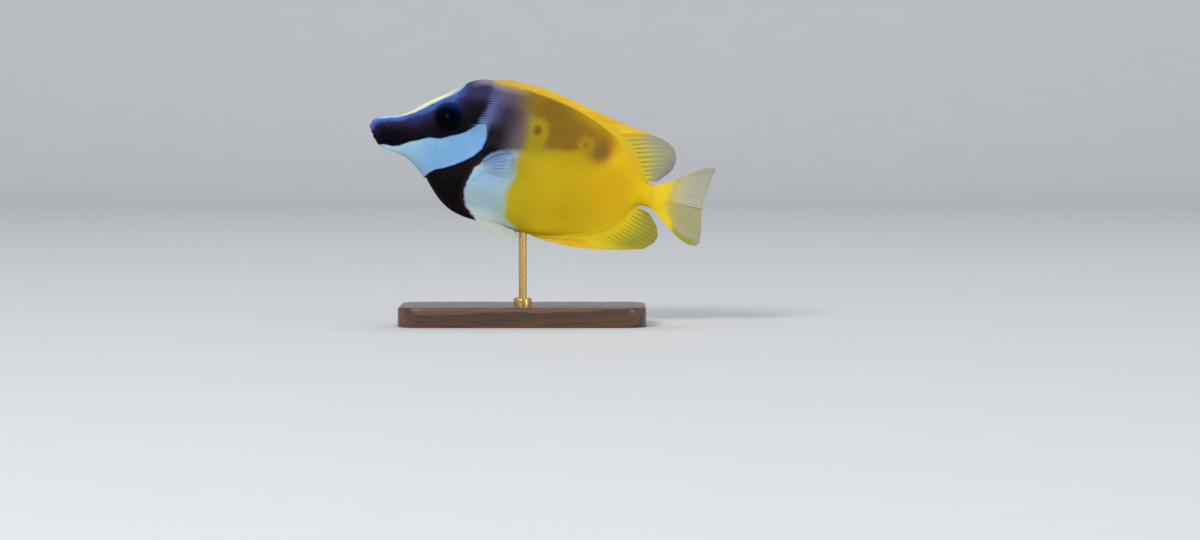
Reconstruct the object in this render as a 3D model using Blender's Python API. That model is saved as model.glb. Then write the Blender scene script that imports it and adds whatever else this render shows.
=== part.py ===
"""A foxface rabbitfish at life size, swimming with its nose up, on a plain display stand.

The sizes below are in millimetres, and solid() turns them into Blender's metres. The fish is drawn in its
own frame: s runs back from the lips to the tail, h up from that line, and y across, with the left flank at
-y. An empty then tips it nose up over the stand, whose base has the origin in the middle of its underside,
with +Z up.
"""

import math

import bmesh
import bpy
import numpy as np
from mathutils import Vector

MM = 0.001

# The pose and the stand
NOSE_UP = math.radians(13.6)
LIP_HEIGHT = 100.0
BASE_LENGTH, BASE_WIDTH, BASE_HEIGHT = 124.0, 62.0, 10.0
BASE_CORNER, BASE_EDGE = 12.0, 1.5
ROD_RADIUS = 2.0
ROD_PLACE_S = 87.4
ROD_IN_BELLY, ROD_IN_BASE = 8.0, 6.0
COLLAR_RADIUS, COLLAR_HEIGHT = 4.6, 3.2
GAP = 0.3

# The body, as (s, h) along the back and the belly and (s, size) across, widest at the heights in WIDEST
BACK = [(0, 0), (0.4, 2.1), (1.2, 3.6), (3.9, 5.4), (8.6, 7.2), (13.4, 8.8), (17.9, 11.7), (22.1, 15.4),
        (26.3, 19.2), (30.8, 22.7), (35.2, 25.9), (39.4, 29.5), (43.7, 33.2), (48.4, 35.6), (53.2, 36.7),
        (60, 36.9), (74, 36.3), (85, 35.2), (95, 33.6), (106, 31), (117, 27.5), (123.5, 24.6), (128, 21.4),
        (132, 17.2), (136, 12.2), (139.5, 8), (143, 5.1), (147, 4.9), (155, 6)]
BELLY = [(0, 0), (0.4, -0.7), (1.4, -2.1), (3.6, -5.1), (6, -7.7), (10, -9.5), (15.8, -9.9), (19.4, -10.5),
         (23, -11.9), (28, -15), (33, -19), (38, -23.6), (43, -27.9), (49, -31.4), (56, -33.2), (64, -33.7),
         (78, -34.1), (87, -34.4), (96, -33.2), (108, -31), (117, -28.7), (124, -25.6), (130, -21.3),
         (134, -16.3), (137, -11.4), (140, -7.7), (143.5, -6.6), (147, -6.8), (155, -8)]
HALF_WIDTH = [(0, 0), (0.4, 1.2), (1.4, 2.2), (3.9, 3.3), (8.6, 4.1), (15, 4.9), (22, 6.4), (30, 8.1),
              (38, 9.3), (46, 10.4), (54, 11.5), (63, 12.3), (74, 12.7), (86, 12.4), (98, 11.3), (109, 9.6),
              (119, 7.7), (128, 5.8), (136, 4.2), (143, 3), (149, 2), (155, 1.3)]
WIDEST = [(0, -0.8), (9, -0.8), (18, 0.3), (28, 2.4), (40, 3.2), (60, 3), (90, 2.6), (112, 1.4), (128, 0),
          (142, -0.9), (155, -1)]
SECTION_POWER = 2.15
TAIL_END, TAIL_ROUND = 153.8, 5.0
RING_POINTS = 36

# The gill cover's free edge, from the nape down behind the cheek to the throat
GILL_EDGE = [(55.5, 45), (57.6, 34), (59.6, 24), (59.8, 14), (59.6, 8), (58, 2), (54.6, -2.6), (50.2, -6.4),
             (45.6, -9.6), (40.4, -12.6), (36.4, -15.6), (33.4, -19.6), (31.5, -26)]
GILL_STEP, GILL_STEP_FADE = 0.9, 7.0
PEDUNCLE_CUT = 141.0

# The eye, its lid rim and the nostrils
EYE_PLACE = (38.2, 13.2)
EYE_RADIUS, EYE_DEPTH, EYE_PROUD = 7.0, 3.2, 1.8
RIM_RADIUS, RIM_THICKNESS, RIM_SUNK = 7.3, 0.85, 0.35
NOSTRILS = [((26.2, 13.6), 0.8), ((29, 14.9), 1.05)]

# The mouth: the ends of its line in side view, its opening at the front, and each lip's middle and size
MOUTH_FRONT, MOUTH_CORNER = (1.6, -3.4), (7.6, -5.0)
MOUTH_OPEN = 0.35
LIPS = [((3.5, -1.8), (2.4, 3.0, 1.9)), ((5.6, -5.6), (2.3, 3.05, 1.6))]

# Fins: guide rays, each with its number and four points from root to tip. The rays between follow them.
# Each ray is a ridge that thins from its root to its tip. The membrane between two rays ends short of them.
SPINE, SOFT_RAY, TINY_RAY = (0.85, 0.45), (0.6, 0.42), (0.45, 0.38)
MEMBRANE, MEMBRANE_END = 0.26, 0.985
DORSAL_RAYS, DORSAL_SPINES = 23, 13
DORSAL = [
    (0, [(54, 36.4), (57, 37.5), (60, 38.3), (63.5, 38.9)]),
    (4, [(69, 36.4), (74.5, 37.8), (80, 38.6), (86, 38.4)]),
    (8, [(88, 34.6), (94, 35.6), (100, 35.5), (106.5, 34.2)]),
    (12, [(109.5, 29.9), (116.5, 31), (123.5, 30.9), (131, 30)]),
    (13, [(118, 27), (125, 28.7), (132, 29.3), (139.6, 28.9)]),
    (15, [(126.6, 22.4), (133.6, 24.6), (140.6, 26.2), (148, 27)]),
    (17, [(131.4, 18), (138.4, 20.2), (145.4, 22), (152.6, 23.2)]),
    (19, [(135.8, 12.6), (141.8, 14.5), (147.8, 16.1), (153.7, 17.2)]),
    (21, [(139.8, 7.8), (143.6, 9.1), (147.4, 10.4), (151.2, 11.5)]),
    (22, [(142.3, 5.4), (143.9, 5.9), (145.5, 6.4), (147.2, 7)]),
]
ANAL_RAYS, ANAL_SPINES = 16, 7
ANAL = [
    (0, [(90.6, -33.9), (93.4, -34.8), (96.4, -35.1), (99.5, -35.3)]),
    (3, [(101, -32.4), (105.5, -34.2), (110.2, -35), (115.2, -34.9)]),
    (6, [(111.6, -30.2), (116.8, -32.3), (122, -33.2), (127.6, -32.9)]),
    (7, [(115.6, -29.2), (121.4, -31.3), (127.4, -32.2), (133.6, -31.7)]),
    (9, [(122.6, -26.4), (129.4, -28.6), (136.4, -29.8), (143.6, -29.2)]),
    (11, [(130.4, -20.9), (136.8, -23.2), (143.2, -25.4), (149.8, -26.6)]),
    (13, [(134.8, -15), (141, -16.8), (147.4, -18.6), (153.7, -19.9)]),
    (14, [(136.9, -11.5), (141.8, -12.6), (146.8, -13.8), (151.8, -14.8)]),
    (15, [(139.6, -8), (141.8, -8.4), (144.2, -8.9), (146.8, -9.6)]),
]
CAUDAL_RAYS = 17
CAUDAL = [
    (0, [(146, 4.9), (156, 10), (166, 17.4), (175, 20.3)]),
    (4, [(151, 3.8), (158.4, 7.6), (166, 11.2), (173.2, 13.7)]),
    (8, [(153, -1), (159, -0.9), (165.6, -0.8), (172.1, -0.7)]),
    (12, [(151, -5.8), (158.4, -8.9), (166.4, -11.4), (174.3, -12.5)]),
    (16, [(146, -6.6), (156, -12.9), (165.6, -18.9), (175.2, -19.6)]),
]
PECTORAL_RAYS = 16
PECTORAL = [
    (0, [(59.6, -4.4), (64.4, 0.6), (71, 3.6), (78.4, 4.9)]),
    (3, [(59.4, -5.8), (66.8, -1.2), (75.6, 2.6), (85.4, 5.2)]),
    (7, [(59.1, -7.6), (67.8, -5), (76.8, -2.6), (86.4, -0.4)]),
    (11, [(58.8, -9.4), (66, -9.4), (73.4, -9.4), (81, -9.2)]),
    (15, [(58.4, -11.2), (62.8, -12.8), (67.2, -14.2), (71.4, -15.2)]),
]
PECTORAL_SUNK, PECTORAL_LIFT = 1.0, 4.5
PELVIC_RAYS = 5
PELVIC = [
    (0, [(61.6, -31.8), (67.4, -35), (75.4, -37), (83.6, -37.5)]),
    (2, [(64.4, -31.6), (71, -34.2), (78.4, -35.9), (85.2, -36.9)]),
    (4, [(67.4, -31.8), (72.6, -33.6), (78, -34.9), (83, -35.6)]),
]
PELVIC_ROOT_Y, PELVIC_TIP_Y = 3.4, 4.2


def smooth(points, at):
    """Reads a smooth curve through the points at each place. Its square-root scale rounds the nose."""
    places, heights = np.array(points, float).T
    places, at = np.sqrt(places), np.sqrt(np.maximum(at, 0))
    slopes = np.gradient(heights, places)
    k = np.clip(np.searchsorted(places, at) - 1, 0, len(places) - 2)
    span = places[k + 1] - places[k]
    t = (at - places[k]) / span
    return (heights[k] * (1 + 2 * t) * (1 - t) ** 2 + slopes[k] * span * t * (1 - t) ** 2
            + heights[k + 1] * t ** 2 * (3 - 2 * t) + slopes[k + 1] * span * t ** 2 * (t - 1))


def body_at(s, grow=0.0):
    """Top, bottom, widest height and half width of the body at s, its surface moved out by grow."""
    from_end = np.clip((s - (TAIL_END + grow - TAIL_ROUND)) / TAIL_ROUND, 0, 0.985)
    rounding = np.sqrt(1 - from_end ** 2)
    widest = smooth(WIDEST, s)
    top = widest + (smooth(BACK, s) + grow - widest) * rounding
    bottom = widest + (smooth(BELLY, s) - grow - widest) * rounding
    return top, bottom, widest, smooth(HALF_WIDTH, s) + grow


def half_width(s, h):
    """How far the body's surface lies from its middle plane, at s and h."""
    top, bottom, widest, width = body_at(s)
    reach = np.where(h > widest, (h - widest) / (top - widest), (widest - h) / (widest - bottom))
    return width * np.sqrt(np.clip(1 - np.abs(reach) ** SECTION_POWER, 0, 1))


def gill_recess(s, h):
    """How far the body lies under the gill cover's edge: a step there that fades towards the tail."""
    lowest, highest = GILL_EDGE[-1][1], GILL_EDGE[1][1]
    edge_h, edge_s = np.array(sorted((h, s) for s, h in GILL_EDGE)).T
    behind = np.maximum(s - np.interp(h, edge_h, edge_s), 0)
    inside = np.clip((h - lowest) / 9, 0, 1) * np.clip((highest - h) / 16, 0, 1)
    return GILL_STEP * np.exp(-behind / GILL_STEP_FADE) * inside


def solid(name, points, faces):
    """An object from points in millimetres, its faces pointing out."""
    mesh = bpy.data.meshes.new(name)
    mesh.from_pydata([tuple(float(c) * MM for c in p) for p in points], [], faces)
    shape = bmesh.new()
    shape.from_mesh(mesh)
    bmesh.ops.recalc_face_normals(shape, faces=shape.faces)
    shape.to_mesh(mesh)
    shape.free()
    made = bpy.data.objects.new(name, mesh)
    bpy.context.scene.collection.objects.link(made)
    return made


def rings(name, loops, closed=False):
    """A solid through loops of equally many points, with flat ends, or closed into a ring."""
    count, around = len(loops), len(loops[0])
    faces = []
    for k in range(count if closed else count - 1):
        a, b = k * around, (k + 1) % count * around
        faces += [(a + i, a + (i + 1) % around, b + (i + 1) % around, b + i) for i in range(around)]
    if not closed:
        faces += [tuple(range(around)), tuple((count - 1) * around + i for i in range(around))]
    return solid(name, [p for loop in loops for p in loop], faces)


def body(name, grow=0.0, recess=False):
    """The whole body as one surface, its cross-sections closest at the nose, the head and the tail's end."""
    nose = 8 * np.linspace(0.14, 1, 8) ** 2
    head = np.linspace(8, 64, 24)[1:]
    trunk = np.linspace(64, 140, 20)[1:]
    tail = np.linspace(140, TAIL_END - TAIL_ROUND, 5)[1:]
    end = TAIL_END + grow + TAIL_ROUND * (np.sin(np.linspace(0, 1.4, 6)[1:]) - 1)
    angles = np.arange(RING_POINTS) * 2 * math.pi / RING_POINTS
    loops = []
    for s in np.concatenate([nose, head, trunk, tail, end]):
        top, bottom, widest, width = body_at(s, grow)
        up = np.sin(angles)
        h = widest + np.where(up > 0, up * (top - widest), up * (widest - bottom))
        y = width * np.sqrt(1 - np.abs(up) ** SECTION_POWER) * np.sign(np.cos(angles))
        if recess:
            y -= np.sign(y) * np.minimum(gill_recess(s, h), np.abs(y) * 0.3)
        loops.append([(s, across, height) for across, height in zip(y, h)])
    return rings(name, loops)


def prism(name, outline, half_depth):
    """An outline of (s, h) points, drawn out to both sides of the middle plane."""
    sides = [[(s, y, h) for s, h in outline] for y in (-half_depth, half_depth)]
    return rings(name, sides)


def ring_bead(name, path, radius, sides=8):
    """A round bead along a ring of points that circles the y axis."""
    path = np.array(path, float)
    along = np.roll(path, -1, 0) - np.roll(path, 1, 0)
    turns = np.arange(sides) * 2 * math.pi / sides
    loops = []
    for point, direction in zip(path, along / np.linalg.norm(along, axis=1)[:, None]):
        right = np.cross(direction, (0, 1, 0))
        right /= np.linalg.norm(right)
        up = np.cross(right, direction)
        loops.append([point + radius * (right * math.cos(a) + up * math.sin(a)) for a in turns])
    return rings(name, loops, closed=True)


def ball(name, centre, radii, turn=(0, 0, 0), segments=20, stacks=12):
    """A ball with its own radius along each axis, turned as wished."""
    shape = bmesh.new()
    bmesh.ops.create_uvsphere(shape, u_segments=segments, v_segments=stacks, radius=1)
    mesh = bpy.data.meshes.new(name)
    shape.to_mesh(mesh)
    shape.free()
    made = bpy.data.objects.new(name, mesh)
    bpy.context.scene.collection.objects.link(made)
    made.location = [c * MM for c in centre]
    made.rotation_euler = turn
    made.scale = [r * MM for r in radii]
    return made


def cylinder(name, radius, low, high, sides=24):
    """An upright cylinder on the Z axis, from low to high."""
    angles = np.arange(sides) * 2 * math.pi / sides
    loops = [[(radius * math.cos(a), radius * math.sin(a), z) for a in angles] for z in (low, high)]
    return rings(name, loops)


def apply_modifiers(obj):
    """Makes what the modifiers do part of the mesh."""
    bpy.context.view_layer.update()
    graph = bpy.context.evaluated_depsgraph_get()
    mesh = bpy.data.meshes.new_from_object(obj.evaluated_get(graph))
    obj.modifiers.clear()
    obj.data = mesh


def keep_largest(obj):
    """Leaves only the closed surface with the most volume."""
    shape = bmesh.new()
    shape.from_mesh(obj.data)
    left, islands = set(shape.verts), []
    while left:
        island, edge = set(), [left.pop()]
        while edge:
            vertex = edge.pop()
            island.add(vertex)
            found = {e.other_vert(vertex) for e in vertex.link_edges} & left
            left -= found
            edge += found
        islands.append(island)

    def volume(island):
        faces = {f for v in island for f in v.link_faces}
        return sum(f.calc_area() * f.normal.dot(f.calc_center_median()) / 3 for f in faces)

    islands.sort(key=volume)
    bmesh.ops.delete(shape, geom=[v for island in islands[:-1] for v in island], context="VERTS")
    shape.to_mesh(obj.data)
    shape.free()


def boolean(obj, operation, others):
    """Joins the others to the object or cuts it by them, and removes them."""
    group = bpy.data.collections.new(f"{obj.name}_{operation.lower()}")
    for other in others:
        group.objects.link(other)
    modifier = obj.modifiers.new(operation.title(), "BOOLEAN")
    modifier.operation = operation
    modifier.solver = "EXACT"
    modifier.operand_type = "COLLECTION"
    modifier.collection = group
    apply_modifiers(obj)
    keep_largest(obj)
    for other in others:
        bpy.data.objects.remove(other)
    bpy.data.collections.remove(group)


def on_flank(s, h, side, proud=0.0):
    """The point of the body's surface at s and h, on one side, moved out by proud."""
    return (s, side * (float(half_width(s, h)) + proud), h)


def gill_outline(shift):
    """The gill cover's edge, moved back by shift."""
    heights = np.linspace(GILL_EDGE[0][1], GILL_EDGE[-1][1], 30)
    edge_h, edge_s = np.array(sorted((h, s) for s, h in GILL_EDGE)).T
    return [(float(np.interp(h, edge_h, edge_s)) + shift, float(h)) for h in heights]


def outward(s, h, side):
    """The direction that the body's surface faces at s and h."""
    step = EYE_RADIUS * 0.8
    along = float(half_width(s + step, h) - half_width(s - step, h)) / (2 * step)
    up = float(half_width(s, h + step) - half_width(s, h - step)) / (2 * step)
    return Vector((-along, side, -up)).normalized()


def eye_ball(name, side, grow):
    """The eye, flatter across than it is wide, facing the way that the head's surface does around it."""
    s, h = EYE_PLACE
    facing = outward(s, h, side)
    centre = Vector(on_flank(s, h, side)) + facing * (EYE_PROUD - EYE_DEPTH)
    radii = (EYE_RADIUS + grow, EYE_RADIUS + grow, EYE_DEPTH + grow)
    return ball(name, centre, radii, facing.to_track_quat("Z", "Y").to_euler())


def eye_rim(side):
    """The low fold of skin around the eye."""
    s, h = EYE_PLACE
    turns = np.arange(24) * 2 * math.pi / 24
    around = [(s + RIM_RADIUS * math.cos(a), h + RIM_RADIUS * math.sin(a)) for a in turns]
    path = [on_flank(along, up, side, -RIM_SUNK) for along, up in around]
    return ring_bead("rim", path, RIM_THICKNESS)


def mouth_height(s):
    """The height of the mouth's line in side view at s."""
    (s0, h0), (s1, h1) = MOUTH_FRONT, MOUTH_CORNER
    return h0 + (h1 - h0) * (s - s0) / (s1 - s0)


def head():
    """Snout, forehead, cheeks and gill covers, with the eye sockets, nostrils and mouth cut in."""
    made = body("head")
    lips = [ball("lip", (s, 0, h), radii, segments=16, stacks=10) for (s, h), radii in LIPS]
    boolean(made, "UNION", lips + [eye_rim(side) for side in (-1, 1)])
    front = [(-5, 45)] + gill_outline(0) + [(-5, -26)]
    boolean(made, "INTERSECT", [prism("front", front, 20)])
    cutters = [eye_ball("socket", side, GAP) for side in (-1, 1)]
    for (s, h), radius in NOSTRILS:
        radii = (radius * 1.4, radius, radius)
        cutters += [ball("nostril", on_flank(s, h, side), radii, segments=10, stacks=6) for side in (-1, 1)]
    corner, corner_h = MOUTH_CORNER
    before, before_h = -1, mouth_height(-1)
    slit = [(before, before_h + MOUTH_OPEN), (before, before_h - MOUTH_OPEN), (corner, corner_h)]
    cutters.append(prism("slit", slit, 8))
    boolean(made, "DIFFERENCE", cutters)
    return made


def torso():
    """Chest, flanks and belly, from behind the gill covers to the tail."""
    made = body("torso", recess=True)
    middle = gill_outline(GAP) + [(40, -60), (PEDUNCLE_CUT, -60), (PEDUNCLE_CUT, 45)]
    boolean(made, "INTERSECT", [prism("middle", middle, 20)])
    return made


def tail():
    """The tail's narrow stalk, out to where the tail fin grows from it."""
    made = body("tail")
    low = PEDUNCLE_CUT + GAP
    rear = [(low, 45), (low, -45), (low + 40, -45), (low + 40, 45)]
    boolean(made, "INTERSECT", [prism("rear", rear, 20)])
    return made


def fin(name, guides, rays, sink, lateral, thickness, rows=6):
    """A thin sheet through the guide rays, each ray a ridge. Its root is sunk into the body's place."""
    numbers = np.array([n for n, _ in guides], float) + 1
    points = np.array([p for _, p in guides], float)
    front, back = [], []
    for column in range(2 * rays - 1):
        r = column / 2
        guide = np.array([[smooth(list(zip(numbers, points[:, k, c])), r + 1) for c in (0, 1)]
                          for k in range(4)])
        between = column % 2 == 1
        for row, t in enumerate([0] + list(np.linspace(0, 1, rows))):
            t *= MEMBRANE_END if between else 1
            weights = [-4.5 * (t - 1 / 3) * (t - 2 / 3) * (t - 1), 13.5 * t * (t - 2 / 3) * (t - 1),
                       -13.5 * t * (t - 1 / 3) * (t - 1), 4.5 * t * (t - 1 / 3) * (t - 2 / 3)]
            s, h = np.array(weights) @ guide + (np.array(sink) if row == 0 else 0)
            thick, thin = thickness(r)
            half = MEMBRANE if between else thick + (thin - thick) * t
            y = lateral(r / (rays - 1), t, s, h)
            front.append((s, y - half, h))
            back.append((s, y + half, h))
    return sheet(name, front, back, 2 * rays - 1, rows + 1)


def sheet(name, front, back, columns, rows):
    """A closed solid from two like grids of points, split into triangles alike on both."""
    faces, far = [], len(front)
    for c in range(columns - 1):
        for r in range(rows - 1):
            a, b = c * rows + r, (c + 1) * rows + r
            for one, two, three in ((a, b, b + 1), (a, b + 1, a + 1)):
                faces += [(one, two, three), (far + three, far + two, far + one)]
    rim = [c * rows for c in range(columns)] + [(columns - 1) * rows + r for r in range(1, rows)]
    rim += [c * rows + rows - 1 for c in range(columns - 2, -1, -1)] + list(range(rows - 2, 0, -1))
    for a, b in zip(rim, rim[1:] + rim[:1]):
        faces += [(a, b, far + b), (a, far + b, far + a)]
    return solid(name, front + back, faces)


def middle_fin(name, guides, rays, sink, sway, spines=0):
    """A fin in the middle plane, its outer edge swaying to one side and back, its first rays spines."""
    def lateral(u, t, s, h):
        return sway * t ** 2 * math.sin(2 * math.pi * u)

    made = fin(name, guides, rays, sink, lateral, lambda r: SPINE if r < spines else SOFT_RAY)
    boolean(made, "DIFFERENCE", [body("clear", GAP)])
    return made


def pectoral_fin(name, side):
    """The fin behind the gill cover, laid back along the flank and standing a little off it."""
    def lateral(u, t, s, h):
        return side * (float(half_width(s, h)) - PECTORAL_SUNK + PECTORAL_LIFT * math.sqrt(t + 0.1 * t))

    made = fin(name, PECTORAL, PECTORAL_RAYS, (-2, 0), lateral, lambda r: TINY_RAY)
    boolean(made, "DIFFERENCE", [body("clear", GAP, recess=True)])
    return made


def pelvic_fin(name, side):
    """The small fin under the belly, folded back beside the keel."""
    def lateral(u, t, s, h):
        return side * (PELVIC_ROOT_Y + (PELVIC_TIP_Y - PELVIC_ROOT_Y) * t)

    made = fin(name, PELVIC, PELVIC_RAYS, (-0.5, 2.5), lateral, lambda r: TINY_RAY)
    boolean(made, "DIFFERENCE", [body("clear", GAP)])
    return made


def stand_base():
    """A flat plate with round corners and a hole for the rod."""
    corners = [(sx * (BASE_LENGTH / 2 - BASE_CORNER), sy * (BASE_WIDTH / 2 - BASE_CORNER), start)
               for sx, sy, start in ((1, 1, 0), (-1, 1, 90), (-1, -1, 180), (1, -1, 270))]
    outline = [(x + BASE_CORNER * math.cos(math.radians(start + turn)),
                y + BASE_CORNER * math.sin(math.radians(start + turn)))
               for x, y, start in corners for turn in (0, 22.5, 45, 67.5, 90)]
    narrow, short = 1 - 2 * BASE_EDGE / BASE_WIDTH, 1 - 2 * BASE_EDGE / BASE_LENGTH
    made = rings("stand_base", [[(x, y, 0) for x, y in outline],
                                [(x, y, BASE_HEIGHT - BASE_EDGE) for x, y in outline],
                                [(x * short, y * narrow, BASE_HEIGHT) for x, y in outline]])
    hole = cylinder("hole", ROD_RADIUS + GAP, BASE_HEIGHT - ROD_IN_BASE, BASE_HEIGHT + 5)
    boolean(made, "DIFFERENCE", [hole])
    return made


def stand_collar():
    """The ring that the rod stands in, on the base."""
    low = BASE_HEIGHT + GAP
    high = low + COLLAR_HEIGHT
    inner, outer, top = ROD_RADIUS + GAP, COLLAR_RADIUS, COLLAR_RADIUS - 1
    profile = [(inner, low), (outer, low), (outer, high - 1), (top, high), (inner, high)]
    angles = np.arange(24) * 2 * math.pi / 24
    loops = [[(r * math.cos(a), r * math.sin(a), z) for r, z in profile] for a in angles]
    return rings("stand_collar", loops, closed=True)


def material(name, colour, roughness, metallic=0.0):
    made = bpy.data.materials.new(name)
    made.use_nodes = True
    shader = made.node_tree.nodes["Principled BSDF"]
    shader.inputs["Base Color"].default_value = (*colour, 1)
    shader.inputs["Roughness"].default_value = roughness
    shader.inputs["Metallic"].default_value = metallic
    return made


def wear(objects, finish):
    """Gives each object the finish and smooth shading with its sharp edges kept."""
    for obj in objects:
        obj.data.materials.clear()
        obj.data.materials.append(finish)
        obj.data.shade_smooth()
        obj.data.set_sharp_from_angle(angle=math.radians(35))


def main():
    for obj in list(bpy.data.objects):
        bpy.data.objects.remove(obj)
    flesh = [head(), torso(), tail()]
    eyes = [eye_ball(f"eye_{word}", side, 0) for word, side in (("left", -1), ("right", 1))]
    fins = [middle_fin("dorsal_fin", DORSAL, DORSAL_RAYS, (-1.5, -2.5), 0.8, DORSAL_SPINES),
            middle_fin("anal_fin", ANAL, ANAL_RAYS, (-1.5, 2.5), -0.8, ANAL_SPINES),
            middle_fin("caudal_fin", CAUDAL, CAUDAL_RAYS, (-3.5, 0), 1.6)]
    for word, side in (("left", -1), ("right", 1)):
        fins += [pectoral_fin(f"pectoral_fin_{word}", side), pelvic_fin(f"pelvic_fin_{word}", side)]

    pose = bpy.data.objects.new("pose", None)
    bpy.context.scene.collection.objects.link(pose)
    pose.rotation_euler = (0, NOSE_UP, 0)
    belly = float(body_at(ROD_PLACE_S)[1])
    rod_above_lip = -ROD_PLACE_S * math.sin(NOSE_UP) + belly * math.cos(NOSE_UP)
    rod_behind_lip = ROD_PLACE_S * math.cos(NOSE_UP) + belly * math.sin(NOSE_UP)
    pose.location = (-rod_behind_lip * MM, 0, LIP_HEIGHT * MM)
    for obj in flesh + eyes + fins:
        obj.parent = pose

    rod_top = LIP_HEIGHT + rod_above_lip + ROD_IN_BELLY
    boolean(flesh[1], "DIFFERENCE", [cylinder("socket", ROD_RADIUS + GAP, 0, rod_top + GAP)])
    rod = cylinder("stand_rod", ROD_RADIUS, BASE_HEIGHT - ROD_IN_BASE + GAP, rod_top)

    wear([flesh[0]], material("head_skin", (0.05, 0.04, 0.07), 0.4))
    wear(flesh[1:], material("body_skin", (0.75, 0.5, 0.04), 0.4))
    wear(eyes, material("eye", (0.01, 0.01, 0.02), 0.1))
    wear(fins, material("fin", (0.7, 0.6, 0.15), 0.45))
    wear([stand_base()], material("base_wood", (0.12, 0.07, 0.04), 0.45))
    wear([rod, stand_collar()], material("brass", (0.72, 0.55, 0.28), 0.3, 1.0))


main()
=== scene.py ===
"""The looks of the mounted foxface rabbitfish: one skin over its body, eyes, fins and the stand.

The fish is drawn in its own frame in millimetres: s runs back from the lips, h up and y across, with the
left flank at -y. place() turns that frame nose up and into metres, where the solids are.
"""

import math

import bmesh
import bpy
import numpy as np
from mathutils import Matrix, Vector, noise


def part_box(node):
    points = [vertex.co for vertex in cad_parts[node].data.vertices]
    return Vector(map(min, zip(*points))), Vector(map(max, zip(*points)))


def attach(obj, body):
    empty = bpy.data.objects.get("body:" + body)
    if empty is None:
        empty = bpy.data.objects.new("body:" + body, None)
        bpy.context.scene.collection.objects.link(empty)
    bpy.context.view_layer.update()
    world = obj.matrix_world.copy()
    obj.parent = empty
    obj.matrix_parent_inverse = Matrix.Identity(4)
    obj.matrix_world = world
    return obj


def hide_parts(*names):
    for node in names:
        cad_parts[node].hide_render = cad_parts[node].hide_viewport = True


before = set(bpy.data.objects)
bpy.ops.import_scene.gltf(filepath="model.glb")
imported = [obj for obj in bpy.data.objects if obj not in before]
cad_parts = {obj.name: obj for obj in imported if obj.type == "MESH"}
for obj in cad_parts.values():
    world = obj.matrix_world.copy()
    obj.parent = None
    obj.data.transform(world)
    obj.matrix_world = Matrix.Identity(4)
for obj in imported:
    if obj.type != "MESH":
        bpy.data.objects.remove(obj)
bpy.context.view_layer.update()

MM = 0.001
UV_PER_MM = 0.01
NOSE_UP = math.radians(13.6)
LIP_HEIGHT = 100.0
ROD_PLACE_S = 87.4

# The camera: the picture's size, the lips' place and the scale in it, and where it stands
PICTURE = (1200, 540)
LIPS_IN_PICTURE = (370, 126)
MM_PER_PIXEL = 0.50348
CAMERA_AWAY, CAMERA_RAISED, SENSOR = 2.0, math.radians(2.5), 36

# The body's curves, as in the solids
BACK = [(0, 0), (0.4, 2.1), (1.2, 3.6), (3.9, 5.4), (8.6, 7.2), (13.4, 8.8), (17.9, 11.7), (22.1, 15.4),
        (26.3, 19.2), (30.8, 22.7), (35.2, 25.9), (39.4, 29.5), (43.7, 33.2), (48.4, 35.6), (53.2, 36.7),
        (60, 36.9), (74, 36.3), (85, 35.2), (95, 33.6), (106, 31), (117, 27.5), (123.5, 24.6), (128, 21.4),
        (132, 17.2), (136, 12.2), (139.5, 8), (143, 5.1), (147, 4.9), (155, 6)]
BELLY = [(0, 0), (0.4, -0.7), (1.4, -2.1), (3.6, -5.1), (6, -7.7), (10, -9.5), (15.8, -9.9), (19.4, -10.5),
         (23, -11.9), (28, -15), (33, -19), (38, -23.6), (43, -27.9), (49, -31.4), (56, -33.2), (64, -33.7),
         (78, -34.1), (87, -34.4), (96, -33.2), (108, -31), (117, -28.7), (124, -25.6), (130, -21.3),
         (134, -16.3), (137, -11.4), (140, -7.7), (143.5, -6.6), (147, -6.8), (155, -8)]
HALF_WIDTH = [(0, 0), (0.4, 1.2), (1.4, 2.2), (3.9, 3.3), (8.6, 4.1), (15, 4.9), (22, 6.4), (30, 8.1),
              (38, 9.3), (46, 10.4), (54, 11.5), (63, 12.3), (74, 12.7), (86, 12.4), (98, 11.3), (109, 9.6),
              (119, 7.7), (128, 5.8), (136, 4.2), (143, 3), (149, 2), (155, 1.3)]
WIDEST = [(0, -0.8), (9, -0.8), (18, 0.3), (28, 2.4), (40, 3.2), (60, 3), (90, 2.6), (112, 1.4), (128, 0),
          (142, -0.9), (155, -1)]
SECTION_POWER = 2.15
TAIL_END, TAIL_ROUND = 153.8, 5.0
GILL_EDGE = [(55.5, 45), (57.6, 34), (59.6, 24), (59.8, 14), (59.6, 8), (58, 2), (54.6, -2.6), (50.2, -6.4),
             (45.6, -9.6), (40.4, -12.5), (37.4, -13.6), (34.8, -16.1), (33, -18.6), (31.5, -26)]
GILL_STEP, GILL_STEP_FADE = 0.9, 7.0
EYE_PLACE, EYE_RADIUS, EYE_DEPTH, EYE_PROUD = (38.2, 13.2), 7.0, 3.2, 1.8
EYE_OPENING, EYE_SOCKET_DEPTH = 6.45, 3.2
MOUTH_FRONT, MOUTH_CORNER = (1.6, -3.4), (7.6, -5.0)
NOSTRILS = [((26.2, 13.6), 0.55), ((29, 14.9), 0.85)]

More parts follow.
